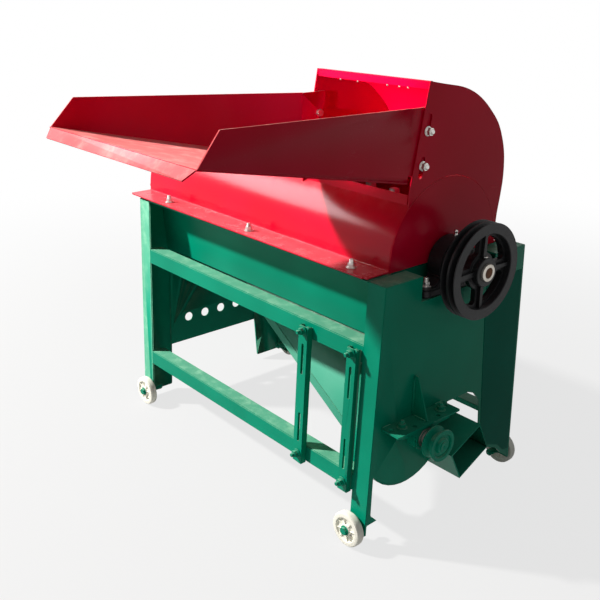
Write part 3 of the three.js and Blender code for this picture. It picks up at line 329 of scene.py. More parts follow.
def arc(centre, radius, start, end, steps):
    """Points on an arc, angles in degrees."""
    points = []
    for i in range(steps + 1):
        angle = math.radians(start + (end - start) * i / steps)
        points.append((centre[0] + radius * math.cos(angle), centre[1] + radius * math.sin(angle)))
    return points


def circle(centre, radius, facets=32):
    return arc(centre, radius, 0, 360, facets)[:-1]


def slot_loop(top, low, radius):
    """A slot with round ends, from one end's middle to the other's."""
    lean = math.degrees(math.atan2(top[1] - low[1], top[0] - low[0]))
    near = arc(top, radius, lean - 90, lean + 90, 12)
    return near + arc(low, radius, lean + 90, lean + 270, 12)


def rounded(points, radius, closed=True, steps=5):
    """The same corners with a radius on each."""
    line = []
    count = len(points)
    for i, point in enumerate(points):
        if not closed and i in (0, count - 1):
            line.append(tuple(point))
            continue
        here = Vector(point)
        to_last = Vector(points[i - 1]) - here
        to_next = Vector(points[(i + 1) % count]) - here
        reach = min(radius, to_last.length * 0.45, to_next.length * 0.45)
        start = here + to_last.normalized() * reach
        end = here + to_next.normalized() * reach
        for k in range(steps + 1):
            t = k / steps
            line.append(tuple(start * (1 - t) ** 2 + here * 2 * t * (1 - t) + end * t * t))
    return line


def smooth_path(points, steps):
    """A smooth line through points."""
    line = []
    for i in range(len(points) - 1):
        p0 = Vector(points[max(i - 1, 0)])
        p1, p2 = Vector(points[i]), Vector(points[i + 1])
        p3 = Vector(points[min(i + 2, len(points) - 1)])
        for k in range(steps):
            t = k / steps
            line.append(tuple(0.5 * (
                2 * p1 + (p2 - p0) * t + (2 * p0 - 5 * p1 + 4 * p2 - p3) * t * t
                + (3 * p1 - p0 - 3 * p2 + p3) * t ** 3
            )))
    line.append(tuple(points[-1]))
    return line


def offset_path(path, distance):
    """The path moved to its left by a distance."""
    moved = []
    for i, point in enumerate(path):
        here = Vector(point)
        run_in = here - Vector(path[i - 1]) if i else Vector(path[1]) - here
        run_out = Vector(path[i + 1]) - here if i < len(path) - 1 else run_in
        run_in, run_out = run_in.normalized(), run_out.normalized()
        left_in = Vector((-run_in.y, run_in.x))
        left = (left_in + Vector((-run_out.y, run_out.x))).normalized()
        moved.append(tuple(here + left * distance / max(left.dot(left_in), 0.4)))
    return moved


def strip(path, thickness):
    """The closed outline of a sheet that follows a path and lies to its left."""
    return list(path) + offset_path(path, thickness)[::-1]


def spun(points, centre, angle):
    """Points about the origin, turned by an angle and moved to a centre."""
    c, s = math.cos(angle), math.sin(angle)
    return [(centre[0] + a * c - b * s, centre[1] + a * s + b * c) for a, b in points]


def mirrored(points):
    """The same points on the other side, in the opposite order."""
    return [(-a, b) for a, b in reversed(points)]


# Solids in mesh code


def lay(axis, a, b, along):
    """A point of an outline, on the plane that an axis crosses."""
    return {"X": (along, a, b), "Y": (a, along, b), "Z": (a, b, along)}[axis]


def prism(mesh, outline, axis, span):
    """An outline run along one axis."""
    ends = [[mesh.verts.new(lay(axis, a, b, along)) for a, b in outline] for along in span]
    mesh.faces.new(ends[0])
    mesh.faces.new(list(reversed(ends[1])))
    for i in range(len(outline)):
        j = (i + 1) % len(outline)
        mesh.faces.new((ends[0][j], ends[0][i], ends[1][i], ends[1][j]))


def pierced(mesh, outline, holes, axis, span):
    """A plate with holes: outline and holes are closed loops of points."""
    loops = [outline, *holes]
    corners = [[Vector((a, b, 0)) for a, b in loop] for loop in loops]
    places = [point for loop in loops for point in loop]
    ends = [[mesh.verts.new(lay(axis, a, b, along)) for a, b in places] for along in span]
    for i, j, k in tessellate_polygon(corners):
        mesh.faces.new((ends[0][i], ends[0][j], ends[0][k]))
        mesh.faces.new((ends[1][k], ends[1][j], ends[1][i]))
    start = 0
    for loop in loops:
        for i in range(len(loop)):
            here, there = start + i, start + (i + 1) % len(loop)
            mesh.faces.new((ends[0][there], ends[0][here], ends[1][here], ends[1][there]))
        start += len(loop)


def turned(mesh, profile, axis, centre, facets):
    """A closed profile of radius and place, turned about one axis."""
    rings = []
    for i in range(facets):
        c, s = math.cos(TURN * i / facets), math.sin(TURN * i / facets)
        rings.append([
            mesh.verts.new(lay(axis, centre[0] + r * c, centre[1] + r * s, along))
            for r, along in profile
        ])
    for i in range(facets):
        near, far = rings[i], rings[(i + 1) % facets]
        for k in range(len(profile)):
            m = (k + 1) % len(profile)
            if profile[k][0] > 0 or profile[m][0] > 0:
                mesh.faces.new((near[k], near[m], far[m], far[k]))


def on_both_faces(mesh, profile, centre, middle, half, facets):
    """A ring on each face of a bearing. Its profile is radius and height above the face."""
    for way in (-1, 1):
        face = middle + way * half
        turned(mesh, [(r, face + way * out) for r, out in profile], "X", centre, facets)


def rolled(mesh, path, thickness, stations, gone):
    """A sheet bent along a path and run along X, with some of its cells left open."""
    inner = offset_path(path, thickness)
    outer_rows = [[mesh.verts.new((x, *point)) for point in path] for x in stations]
    inner_rows = [[mesh.verts.new((x, *point)) for point in inner] for x in stations]
    rows, columns = len(stations) - 1, len(path) - 1
    there = {(i, j) for i in range(rows) for j in range(columns) if not gone(i, j)}
    for i, j in there:
        corners = [(i, j), (i + 1, j), (i + 1, j + 1), (i, j + 1)]
        mesh.faces.new([outer_rows[a][b] for a, b in corners])
        mesh.faces.new([inner_rows[a][b] for a, b in reversed(corners)])
        beyond = [(i, j - 1), (i + 1, j), (i, j + 1), (i - 1, j)]
        for side in range(4):
            if beyond[side] not in there:
                a, b = corners[side], corners[(side + 1) % 4]
                mesh.faces.new([
                    outer_rows[b[0]][b[1]], outer_rows[a[0]][a[1]],
                    inner_rows[a[0]][a[1]], inner_rows[b[0]][b[1]],
                ])


BEAD_PITCH = 4.0
BEAD_FACETS = 8


def bead(mesh, start, end, radius, seed=0):
    """A weld bead from one point to another, with its ripples and thinner ends."""
    start, end = Vector(start), Vector(end)
    along = (end - start).normalized()
    side = along.orthogonal().normalized()
    other = along.cross(side)
    count = max(int((end - start).length / (BEAD_PITCH / 3)), 4)
    rings = []
    for i in range(count + 1):
        t = i / count
        swell = radius * (0.82 + 0.18 * abs(math.sin(i * math.pi / 3 + seed)))
        swell *= min(1.0, 6 * t + 0.35, 6 * (1 - t) + 0.35)
        sway = 0.12 * radius * math.sin(i * 1.7 + seed)
        middle = start.lerp(end, t) + side * sway
        ring = []
        for k in range(BEAD_FACETS):
            c, s = math.cos(TURN * k / BEAD_FACETS), math.sin(TURN * k / BEAD_FACETS)
            ring.append(mesh.verts.new(middle + side * swell * c + other * swell * s))
        rings.append(ring)
    for near, far in zip(rings, rings[1:]):
        for k in range(BEAD_FACETS):
            m = (k + 1) % BEAD_FACETS
            mesh.faces.new((near[k], near[m], far[m], far[k]))
    mesh.faces.new(rings[0])
    mesh.faces.new(rings[-1])


# Folds, eased edges and setting down

# Corners closer than a gap are one, and faces within an angle of each other are one flat face.
DRAWN_GAP, PACKED_GAP = 0.004, 0.01
PACKED_GAP_METRES = 0.00001
FLAT_WITHIN = 0.8

# Edges sharper than these angles, in degrees, are folds and cut edges.
DRAWN_CORNER, PACKED_CORNER, UNFOLDED_CORNER = 35, 32, 50


def bevel(mesh, edges, width, steps):
    alive = [e for e in edges if e.is_valid]
    if alive and width:
        bmesh.ops.bevel(
            mesh, geom=alive, offset=width, segments=steps, affect="EDGES", clamp_overlap=True
        )


def corners_of(mesh, angle):
    """Edges where two faces meet at more than an angle."""
    mesh.normal_update()
    return [
        e for e in mesh.edges
        if len(e.link_faces) == 2 and e.calc_face_angle(0) > math.radians(angle)
    ]


def ease_edges(mesh, angle, cut, fold=0.0, wide=7.0):
    """Rounds folds, where two wide faces meet, and takes the sharpness off cut edges."""
    edges = corners_of(mesh, angle)
    if fold:
        folds = [
            e for e in edges if min(f.calc_area() for f in e.link_faces) / e.calc_length() > wide
        ]
        outside = [e for e in folds if e.is_convex]
        inside = [e for e in folds if not e.is_convex]
        bevel(mesh, outside, fold, 4)
        bevel(mesh, inside, fold * 0.35, 3)
        edges = corners_of(mesh, max(angle, UNFOLDED_CORNER))
    bevel(mesh, edges, cut, 2)


def clean(mesh, distance, flat=True):
    """Joins loose corners, makes flat faces whole and turns all of them outwards."""
    bmesh.ops.remove_doubles(mesh, verts=mesh.verts, dist=distance)
    if flat:
        bmesh.ops.dissolve_limit(
            mesh, angle_limit=math.radians(FLAT_WITHIN), verts=mesh.verts, edges=mesh.edges
        )
    bmesh.ops.recalc_face_normals(mesh, faces=mesh.faces)


def dress(name, body, finish, mesh, stands_for, smooth=40):
    """Sets a mesh down, from millimetres to metres, as a piece that rides with a body."""
    for vertex in mesh.verts:
        vertex.co = set_down(vertex.co)
    data = bpy.data.meshes.new(name)
    mesh.to_mesh(data)
    mesh.free()
    data.materials.append(finish.material)
    for face in data.polygons:
        face.use_smooth = True
    data.set_sharp_from_angle(angle=math.radians(smooth))
    thing = bpy.data.objects.new(name, data)
    bpy.context.scene.collection.objects.link(thing)
    even = thing.modifiers.new("even_shading", "WEIGHTED_NORMAL")
    even.keep_sharp = True
    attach(thing, body)
    if stands_for:
        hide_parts(*stands_for)


def piece(name, body, finish, mesh, stands_for=(), smooth=40, cut=0.4, flat=True):
    """A drawn mesh as a piece, its cut edges eased."""
    clean(mesh, DRAWN_GAP, flat)
    ease_edges(mesh, DRAWN_CORNER, cut)
    dress(name, body, finish, mesh, stands_for, smooth)


def plate(name, finish, outline, axis, span, holes=(), **more):
    """A piece of the frame cut from plate, with holes where it has them."""
    mesh = bmesh.new()
    if holes:
        pierced(mesh, outline, holes, axis, span)
    else:
        prism(mesh, outline, axis, span)
    piece(name, "frame", finish, mesh, **more)


def spindle(name, body, finish, profile, centre, facets, axis="X", **more):
    """A piece turned from one profile."""
    mesh = bmesh.new()
    turned(mesh, profile, axis, centre, facets)
    piece(name, body, finish, mesh, cut=0, flat=False, **more)


def eased(node, cut=0.5, fold=0.0, wide=7.0, finish=None):
    """A copy of a packed sheet or section with round folds and eased edges."""
    mesh = bmesh.new()
    mesh.from_mesh(frame["nodes"][node].data)
    bmesh.ops.remove_doubles(mesh, verts=mesh.verts, dist=PACKED_GAP_METRES)
    for vertex in mesh.verts:
        vertex.co = vertex.co / MM - FRAME_MIDDLE
    clean(mesh, PACKED_GAP)
    ease_edges(mesh, PACKED_CORNER, cut, fold, wide)
    dress(node + "_eased", BODY_OF_NODE[node], finish or finish_of(node), mesh, [node])


# End plates, rails and sheets of the frame, and the drum's and the fan's inner pieces

for node in ("end_plate_right", "end_plate_left"):
    eased(node, cut=0.5, fold=3.5, wide=12)
for node in ("rail_front_upper", "rail_front_lower", "rail_back_upper", "rail_back_lower"):
    eased(node, cut=0.8, fold=1.4, wide=14)
for node in ("motor_bar_left", "motor_bar_right"):
    eased(node, cut=0.4, fold=2.0, wide=7.5)
for node in ("side_sheet_front", "side_sheet_back", "bearing_bridge_left"):
    eased(node, cut=0.4, fold=2.5, wide=12)
# The slide's paint is a paler green, partly dust and partly painted light, with painted shade high
# on its sides.
eased("grain_slide", cut=0.4, fold=2.5, wide=12, finish=slide_green)
for node in ("trough_end_sheet", "threshing_screen"):
    eased(node, cut=0.4)
eased("fan_casing", cut=0.4, finish=plain_green)
for node in ("drum_bar_1", "drum_bar_2", "drum_bar_3", "drum_bar_4"):
    eased(node, cut=0.8)
eased("drum_tube", cut=0.6)
eased("fan_impeller", cut=0.3)


# The back leg of the pulley end, a smooth strip that stands proud of the plate

BACK_LEG = [
    (73, 430), (172, 430), (194.5, 50), (178, 52), (158, 71.5), (117, 88), (98, 131), (93.5, 172),
    (77, 364),
]
plate("back_leg_strip", leg_green, rounded(BACK_LEG, 3), "X", (369.8, 370.7), cut=0.3)


def slide_laps():
    """The upturned edges of the slide's floor, lapped on the outside of its sides."""
    mesh = bmesh.new()
    floor_line = [(-366.5, 355.0), (-95.5, 346.0), (271.4, 110.8)]
    under, over = 2, 20
    outline = [(x, z - under) for x, z in floor_line]
    outline += [(x, z + over) for x, z in reversed(floor_line)]
    for side in (-1, 1):
        prism(mesh, outline, "Y", sorted((side * 113.5, side * 114.9)))
    piece("slide_laps", "frame", slide_green, mesh, cut=0.4)


slide_laps()


# Cob guard under the left end, with its row of punched holes

GUARD_OUTLINE = rounded([(-150, 113), (150, 113), (150, 352), (-150, 352)], 4)
GUARD_HOLE_RADIUS, GUARD_HOLE_PITCH, GUARD_HOLE_HEIGHT = 10.2, 46, 170.5
plate(
    "cob_guard", green, GUARD_OUTLINE, "X", (-372.3, -END_FACE),
    holes=[
        circle((step * GUARD_HOLE_PITCH, GUARD_HOLE_HEIGHT), GUARD_HOLE_RADIUS)
        for step in (-1.5, -0.5, 0.5, 1.5)
    ],
    stands_for=["cob_guard_sheet"],
)


# Drum cover: a half cylinder with bolted flanges, an end sheet and a lip along the feed opening

COVER_AXIS = (0, 485)
COVER_RADIUS = 129.0
COVER_INSIDE = 127.6
COVER_FOOT = 477.9
COVER_STATIONS = [-400, -392, 82, 322, 329.7]
FLANGE_TOP = 479.6
FLANGE_REACH = 180.0
FEED_FRONT = -86.0
FEED_BACK = 92
FEED_LOW = 520
SHAFT_NOTCH = 18
FEED_LIP = [(80, 575), (324, 575), (324, 595), (80, 595)]


def cover_path():
    """The cover's section, from its front flange over the top to its back flange."""
    front_edge = math.degrees(math.acos(FEED_FRONT / COVER_RADIUS))
    back_edge = math.degrees(math.acos(FEED_BACK / COVER_RADIUS))
    over = arc(COVER_AXIS, COVER_RADIUS, 180, front_edge, 14)
    over += arc(COVER_AXIS, COVER_RADIUS, front_edge, back_edge, 40)[1:]
    over += arc(COVER_AXIS, COVER_RADIUS, back_edge, 0, 14)[1:]
    bend = [(-140, FLANGE_TOP), (-COVER_RADIUS, FLANGE_TOP), (-COVER_RADIUS, 486)]
    front = [(-FLANGE_REACH, FLANGE_TOP), (-176, FLANGE_TOP), (-170, FLANGE_TOP)]
    front += rounded(bend, 5, closed=False)
    return front[:-1] + [p for p in over if p[1] > 486.5] + mirrored(front)[1:]


def drum_cover():
    path = cover_path()
    middles = [((a[0] + b[0]) / 2, (a[1] + b[1]) / 2) for a, b in zip(path, path[1:])]

    def left_open(i, j):
        """The flanges stop short of both ends, and the feed opening faces the tray."""
        y, z = middles[j]
        if abs(y) > FLANGE_REACH - 4:
            return i in (0, 3)
        return i == 2 and FEED_FRONT < y < FEED_BACK and z > FEED_LOW

    mesh = bmesh.new()
    rolled(mesh, path, -2.0, COVER_STATIONS, left_open)
    piece("drum_cover_sheet", "frame", cover_red, mesh, ["drum_cover"], cut=0.35, flat=False)

    notch = [(-y, z) for y, z in arc(DRUM_AXIS, SHAFT_NOTCH, 0, 180, 16) if z > 478.2]
    outline = [(-COVER_INSIDE, COVER_FOOT), (-SHAFT_NOTCH, COVER_FOOT)] + notch
    outline += [(SHAFT_NOTCH, COVER_FOOT), (COVER_INSIDE, COVER_FOOT)]
    outline += arc(COVER_AXIS, COVER_INSIDE, 0, 180, 64)
    plate("drum_cover_end", red, outline, "X", (-399.6, -397.7))
    plate("feed_lip", red, rounded(FEED_LIP, 3), "Y", (-88.3, -86.3))


def cover_end_tacks():
    """Short welds between the cover and its end sheet."""
    mesh = bmesh.new()
    bead(mesh, (-399.2, -128.4, 481), (-399.2, -128.4, 486), 1.0)
    radius, half_length = 128.3, 4
    for k in range(0, 26, 5):
        angle = math.radians(178 - k * 6.8)
        y, z = radius * math.cos(angle), COVER_AXIS[1] + radius * math.sin(angle)
        run_y, run_z = half_length * math.sin(angle), half_length * math.cos(angle)
        bead(mesh, (-400, y - run_y, z + run_z), (-400, y + run_y, z - run_z), 1.1, seed=k)
    piece("cover_end_tacks", "frame", red, mesh, cut=0, flat=False)


drum_cover()
cover_end_tacks()


# Hood: a bent shell between two side plates, and the cover's end sheet under the right one

HOOD_DEPTH, HOOD_FOOT, HOOD_RISE = 142, 479.9, 284.1
HOOD_SHARES = [
    (-0.187, 0.9785), (0.099, 0.954), (0.296, 0.922), (0.465, 0.877), (0.627, 0.815),
    (0.803, 0.727), (0.915, 0.626), (0.979, 0.524), (1.0, 0.396), (0.979, 0.283), (0.945, 0.162),
    (0.937, 0.0),
]
HOOD_LINE = smooth_path(
    [(-60.0, 764.0)] + [(a * HOOD_DEPTH, HOOD_FOOT + b * HOOD_RISE) for a, b in HOOD_SHARES], 6
)
HOOD_BACK = HOOD_LINE[-1][0]
HOOD_FRONT_CORNER = (-93, 600)
HOOD_ROOF = (78.2, 329.8)
HOOD_HEM = [
    (-60, 763.8), (-60, 752), (-58.2, 750.8), (-57.2, 752), (-57.2, 761.5), (-52, 761.2),
    (-52, 763.4),
]
END_SHEET_FOOT = 477.7
TRAY_SLOTS = [
    slot_loop((y + 2.4, z + 12), (y - 2.4, z - 12), 4.6) for y, z in ((-58, 700), (-68, 636))
]


def hood_plate(end, span, gap, front, back, foot):
    """A side plate that sits astride the cover, between two angles, with the tray's slots."""
    saddle = arc(COVER_AXIS, COVER_RADIUS + gap, front, back, 60)
    outline = HOOD_LINE[:-1] + [(HOOD_BACK, foot)] + saddle[::-1] + [HOOD_FRONT_CORNER]
    plate(
        f"hood_plate_{end}", red, outline, "X", span, holes=TRAY_SLOTS,
        stands_for=[f"hood_side_{end}"],
    )


def cover_end_right():
    outline = [(-129, END_SHEET_FOOT), (-18, END_SHEET_FOOT)] + arc(DRUM_AXIS, 18.2, 171, 9, 16)
    outline += [(18, END_SHEET_FOOT), (HOOD_BACK, END_SHEET_FOOT), (HOOD_BACK, 496)]
    outline += arc(COVER_AXIS, COVER_RADIUS, 5, 180, 72)
    plate("cover_end_right", red, outline, "X", (329.95, 332.15), cut=0.5)


def hood_roof():
    """The bent shell, and the hem folded down along its front edge."""
    mesh = bmesh.new()
    back = [p for p in HOOD_LINE if p[1] > 502] + [(HOOD_BACK, 500)]
    prism(mesh, strip(offset_path(back, -0.05), -2.0), "X", HOOD_ROOF)
    prism(mesh, HOOD_HEM, "X", HOOD_ROOF)
    piece("hood_roof", "frame", red, mesh, ["hood_shell"], smooth=35)


def spot_welds():
    """Small bright nubs along the hood's front edge, where its hem was tacked."""
    mesh = bmesh.new()
    nub = [(0, -60.4), (1.0, -60.2), (1.7, -59.2), (1.7, -58.2), (0, -57.4)]
    for x in (134, 175, 242, 268, 286):
        turned(mesh, nub, "Y", (x, 750.6), 14)
    piece("hood_spot_welds", "frame", zinc, mesh, cut=0, flat=False)


hood_plate("right", (330.0, 331.8), gap=0.5, front=135, back=5, foot=497)
cover_end_right()
hood_plate("left", (76.0, 78.0), gap=0.4, front=136, back=3, foot=492)
hood_roof()
spot_welds()


# Feed tray

# The tray's floor carries a painted highlight in its dust.
eased("feed_tray", cut=0.5, fold=2.2, wide=8, finish=tray_red_dust_and_highlight)


# Pulleys and shafts

RIM_FACETS = 96
PULLEY_RADIUS = 80
FAN_PULLEY_RADIUS = 28.5
RIM_INSIDE = 62.6


def groove(middle, radius, depth, half_top, half_floor):
    """A belt groove's profile, with eased lips and corners."""
    return [
        (radius, middle - half_top), (radius - 0.5, middle - half_top + 0.35),
        (radius - depth + 0.6, middle - half_floor - 0.1),
        (radius - depth, middle - half_floor + 0.5), (radius - depth, middle + half_floor - 0.5),
        (radius - depth + 0.6, middle + half_floor + 0.1),
        (radius - 0.5, middle + half_top - 0.35), (radius, middle + half_top),
    ]


def pulley_window(quarter):
    """One of the four openings of the main pulley, between two arms."""
    outer_corner, inner_corner = (15.5, 49.6), (14.5, 32.95)
    a = math.degrees(math.atan2(outer_corner[1], outer_corner[0]))
    b = math.degrees(math.atan2(inner_corner[0], inner_corner[1]))
    loop = arc(outer_corner, 6, 180, a, 6)
    loop += arc((0, 0), 58, a, 90 - a, 12)[1:]
    loop += arc((outer_corner[1], outer_corner[0]), 6, 90 - a, -90, 6)[1:]
    loop += arc((inner_corner[1], inner_corner[0]), 5, 270, 180 + b, 6)
    loop += arc((0, 0), 31, b, 90 - b, 6)[1:-1]
    loop += arc(inner_corner, 5, 270 - b, 180, 6)
    return spun(loop, DRUM_AXIS, quarter * math.pi / 2)


def main_pulley():
    mesh = bmesh.new()
    rim = [(63, 394.6), (63.6, 394), (79.3, 394), (80, 394.7)]
    for middle in (401, 415):
        rim += groove(middle, PULLEY_RADIUS, 10, 5.32, 2.24)
    rim += [(80, 421.3), (79.3, 422), (63.6, 422), (RIM_INSIDE, 421), (61.8, 413.5), (61.8, 400)]
    turned(mesh, rim, "X", DRUM_AXIS, RIM_FACETS)
    hub = [
        (14.9, 390), (23.6, 390), (25, 391.4), (25.4, 401), (27.5, 403), (27.5, 408), (24.6, 411),
        (24, 421.8), (23, 423), (14.9, 423),
    ]
    turned(mesh, hub, "X", DRUM_AXIS, 64)
    piece(
        "main_pulley_rim", "drum_rotor", black, mesh, ["main_pulley"],
        cut=0, smooth=32, flat=False,
    )

    mesh = bmesh.new()
    web = circle(DRUM_AXIS, RIM_INSIDE, RIM_FACETS)
    pierced(mesh, web, [pulley_window(k) for k in range(4)], "X", (401.5, 410.5))
    rib = [(22, -4.2), (63, -3.0), (63, 3.0), (22, 4.2)]
    for k in range(4):
        prism(mesh, spun(rib, DRUM_AXIS, k * math.pi / 2), "X", (402, 416))
    piece("main_pulley_web", "drum_rotor", black, mesh, cut=1.4, smooth=45)

    screw = [(0, -0.5), (2.6, -0.5), (4.0, 0.2), (4.0, 1.2), (0, 1.2)]
    hub_top = 499
    spindle(
        "pulley_set_screw", "drum_rotor", zinc, [(r, hub_top + z) for r, z in screw],
        (417, 0), 24, axis="Z",
    )


SHAFT_PROFILE = [
    (0, -446), (13.6, -446), (15, -444.6), (15, 425.5), (13.8, 427), (9.2, 427), (8.6, 425.5),
    (8.4, 421.5), (0, 421),
]
SHAFT_GREASE = [
    (0, 420.4), (8.6, 421.2), (9.2, 425.6), (8.6, 426.7), (7.4, 426.2), (5.0, 424.6), (2.2, 423.2),
    (0, 422.6),
]
FAN_PULLEY_PROFILE = [
    (8.1, 418), (28.1, 418), (FAN_PULLEY_RADIUS, 418.4),
    *groove(429, FAN_PULLEY_RADIUS, 9, 8.36, 3.52),
    (FAN_PULLEY_RADIUS, 439.6), (28.1, 440), (22.6, 440), (21.2, 438.8), (20.6, 436.5),
    (14.5, 436.5), (13.6, 438), (13, 440.6), (12, 441.4), (8.1, 441.4),
]
FAN_SHAFT_PROFILE = [(0, 264), (7.2, 264), (8, 264.8), (8, 441), (0, 441)]
FAN_SHAFT_END = [
    (0, 441.2), (8.05, 441.2), (8.25, 442.2), (7.5, 443.0), (3.4, 443.0), (1.8, 441.8), (0, 441.5),
]

main_pulley()
spindle(
    "drum_shaft_turned", "drum_rotor", shaft_steel, SHAFT_PROFILE, DRUM_AXIS, 64,
    stands_for=["drum_shaft"],
)
spindle("shaft_centre_grease", "drum_rotor", rust, SHAFT_GREASE, DRUM_AXIS, 32)
spindle(
    "fan_pulley_turned", "fan_rotor", green, FAN_PULLEY_PROFILE, FAN_AXIS, 64,
    stands_for=["fan_pulley"], smooth=32,
)
spindle(
    "fan_shaft_turned", "fan_rotor", shaft_steel, FAN_SHAFT_PROFILE, FAN_AXIS, 32,
    stands_for=["fan_shaft"],
)
spindle("fan_shaft_painted_end", "fan_rotor", green, FAN_SHAFT_END, FAN_AXIS, 32)


# Bolts, nuts and washers

THREAD_PITCH = 1.25
HEXAGON_FACETS = 36
BOLT_RADIUS = 3.95
BOLT_HOLE = 3.9
HEAD_HEIGHT = 5.3
WASHER_THICK = 1.4
SPRING_WASHER_TOP = 2.7
NUT_TOP = 8.1


def thread(radius, start, end, direction):
    """The profile of a threaded tip, from the nut outwards, with a chamfered end."""
    line, place = [], start
    while (end - place) * direction > 2.2 * THREAD_PITCH:
        line += [(radius, place), (radius * 0.87, place + direction * THREAD_PITCH * 0.5)]
        place += direction * THREAD_PITCH
    chamfer = [(radius * 0.96, end - direction * 1.0), (radius * 0.72, end), (0, end)]
    return line + [(radius, place)] + chamfer


def hexagon(mesh, radius, axis, centre, span, turn=0.0):
    """A hexagon nut or head with its corners turned off at both ends."""
    low, high = min(span), max(span)
    step = (high - low) * 0.16
    rows = []
    for place, bitten in ((low, True), (low + step, False), (high - step, False), (high, True)):
        row = []
        for k in range(HEXAGON_FACETS):
            angle = TURN * k / HEXAGON_FACETS + turn
            local = (angle - turn) % (math.pi / 3) - math.pi / 6
            r = radius * math.cos(math.pi / 6) / math.cos(local)
            if bitten:
                r = min(r, radius * 0.91)
            a, b = centre[0] + r * math.cos(angle), centre[1] + r * math.sin(angle)
            row.append(mesh.verts.new(lay(axis, a, b, place)))
        rows.append(row)
    for one, two in zip(rows, rows[1:]):
        for k in range(HEXAGON_FACETS):
            m = (k + 1) % HEXAGON_FACETS
            mesh.faces.new((one[k], one[m], two[m], two[k]))
    mesh.faces.new(rows[0])
    mesh.faces.new(list(reversed(rows[-1])))


def washer(mesh, outer, axis, centre, span):
    low, high = min(span), max(span)
    profile = [
        (BOLT_HOLE, low), (outer - 0.3, low), (outer, low + 0.3), (outer, high - 0.3),
        (outer - 0.3, high), (BOLT_HOLE, high),
    ]
    turned(mesh, profile, axis, centre, 40)


def bolt(node, axis, centre, seats, direction, turn, name=None, big_washer=9.0, tip=6.0):
    """A bolt through sheets: head, plain shank, washer, spring washer, nut and threaded tip."""
    head_seat, nut_seat = seats

    def out(height):
        return nut_seat + direction * height

    mesh = bmesh.new()
    head = (head_seat, head_seat - direction * HEAD_HEIGHT)
    hexagon(mesh, 6.5, axis, centre, head, turn + 0.4)
    washer(mesh, big_washer, axis, centre, (nut_seat, out(WASHER_THICK)))
    washer(mesh, 6.9, axis, centre, (out(WASHER_THICK), out(SPRING_WASHER_TOP)))
    hexagon(mesh, 6.5, axis, centre, (out(SPRING_WASHER_TOP), out(NUT_TOP)), turn)
    shank = [(0, head_seat), (4, head_seat), (4, out(NUT_TOP))]
    shank += thread(BOLT_RADIUS, out(8.2), out(NUT_TOP + tip), direction)
    turned(mesh, shank, axis, centre, 24)
    piece(
        name or node + "_hex", "frame", finish_of(node), mesh, [node],
        cut=0, smooth=38, flat=False,
    )


COVER_BOLTS = (-275, 0, 275)
COVER_BOLT_REACH = 158
BAR_BOLTS = {"left": 197, "right": 317}
RAIL_HEIGHTS = {"upper": 353.5, "lower": 115.5}
TRAY_BOLTS = {"upper": (-59.8, 691), "lower": (-67.4, 639)}
TRAY_BOLT_ENDS = {"right": ((327, 332.3), 1), "left": ((81, 75.7), -1)}
FAN_BOLTS = {"front": -143.5, "back": -48.5}


def bolts():
    for row, side in (("front", -1), ("back", 1)):
        for index, x in enumerate(COVER_BOLTS):
            bolt(
                f"cover_bolt_{row}_{index + 1}", "Z", (x, side * COVER_BOLT_REACH),
                (472.7, 479.9), 1, 0.3 + index * 0.7 + side, name=f"cover_bolt_{row}_{index}",
            )
    for bar, x in BAR_BOLTS.items():
        for place, z in RAIL_HEIGHTS.items():
            seats = (-(leg_face(z) - 3.831), -(leg_face(z) + 11.831))
            bolt(f"bar_bolt_{bar}_{place}", "Y", (x, z), seats, -1, 0.2 + x)
    for place, (y, z) in TRAY_BOLTS.items():
        for end, (seats, direction) in TRAY_BOLT_ENDS.items():
            bolt(
                f"tray_bolt_{end}_{place}", "X", (y, z), seats, direction, z,
                big_washer=7.6, tip=3.6,
            )
    for place, y in FAN_BOLTS.items():
        bolt(f"fan_bolt_{place}", "Z", (FAN_BEARING_X, y), (214.7, 229.6), 1, y)


bolts()


# Pillow blocks of the drum's shaft

HOUSING_HALF = 16
BLOCK_BASE = 434
BLOCK_FOOT = rounded([(-20, -82), (20, -82), (20, 82), (-20, 82)], 14)
BLOCK_SHOULDER = [(-66, 440), (-62, 447.5), (-53, 449.5), (-47, 454)]
BLOCK_RING = [(31, -2), (37.5, -2), (37, 0.9), (36, 1.2), (31.6, 0.2)]
BLOCK_SEAL = [(19, -3), (31.4, -3), (31.4, -0.6), (27, -1.4), (19, -1.2)]
BLOCK_COLLAR = [(15.4, -17), (21, -17), (21, 16.8), (20.4, 17.4), (15.4, 17.4)]
FOOT_BOLT_REACH = 60.5
NIPPLE = [
    (0, 517), (3.4, 517), (3.4, 521), (2.2, 522), (2.2, 524), (3.0, 525.2), (2.6, 527), (1.2, 528),
    (0, 528),
]


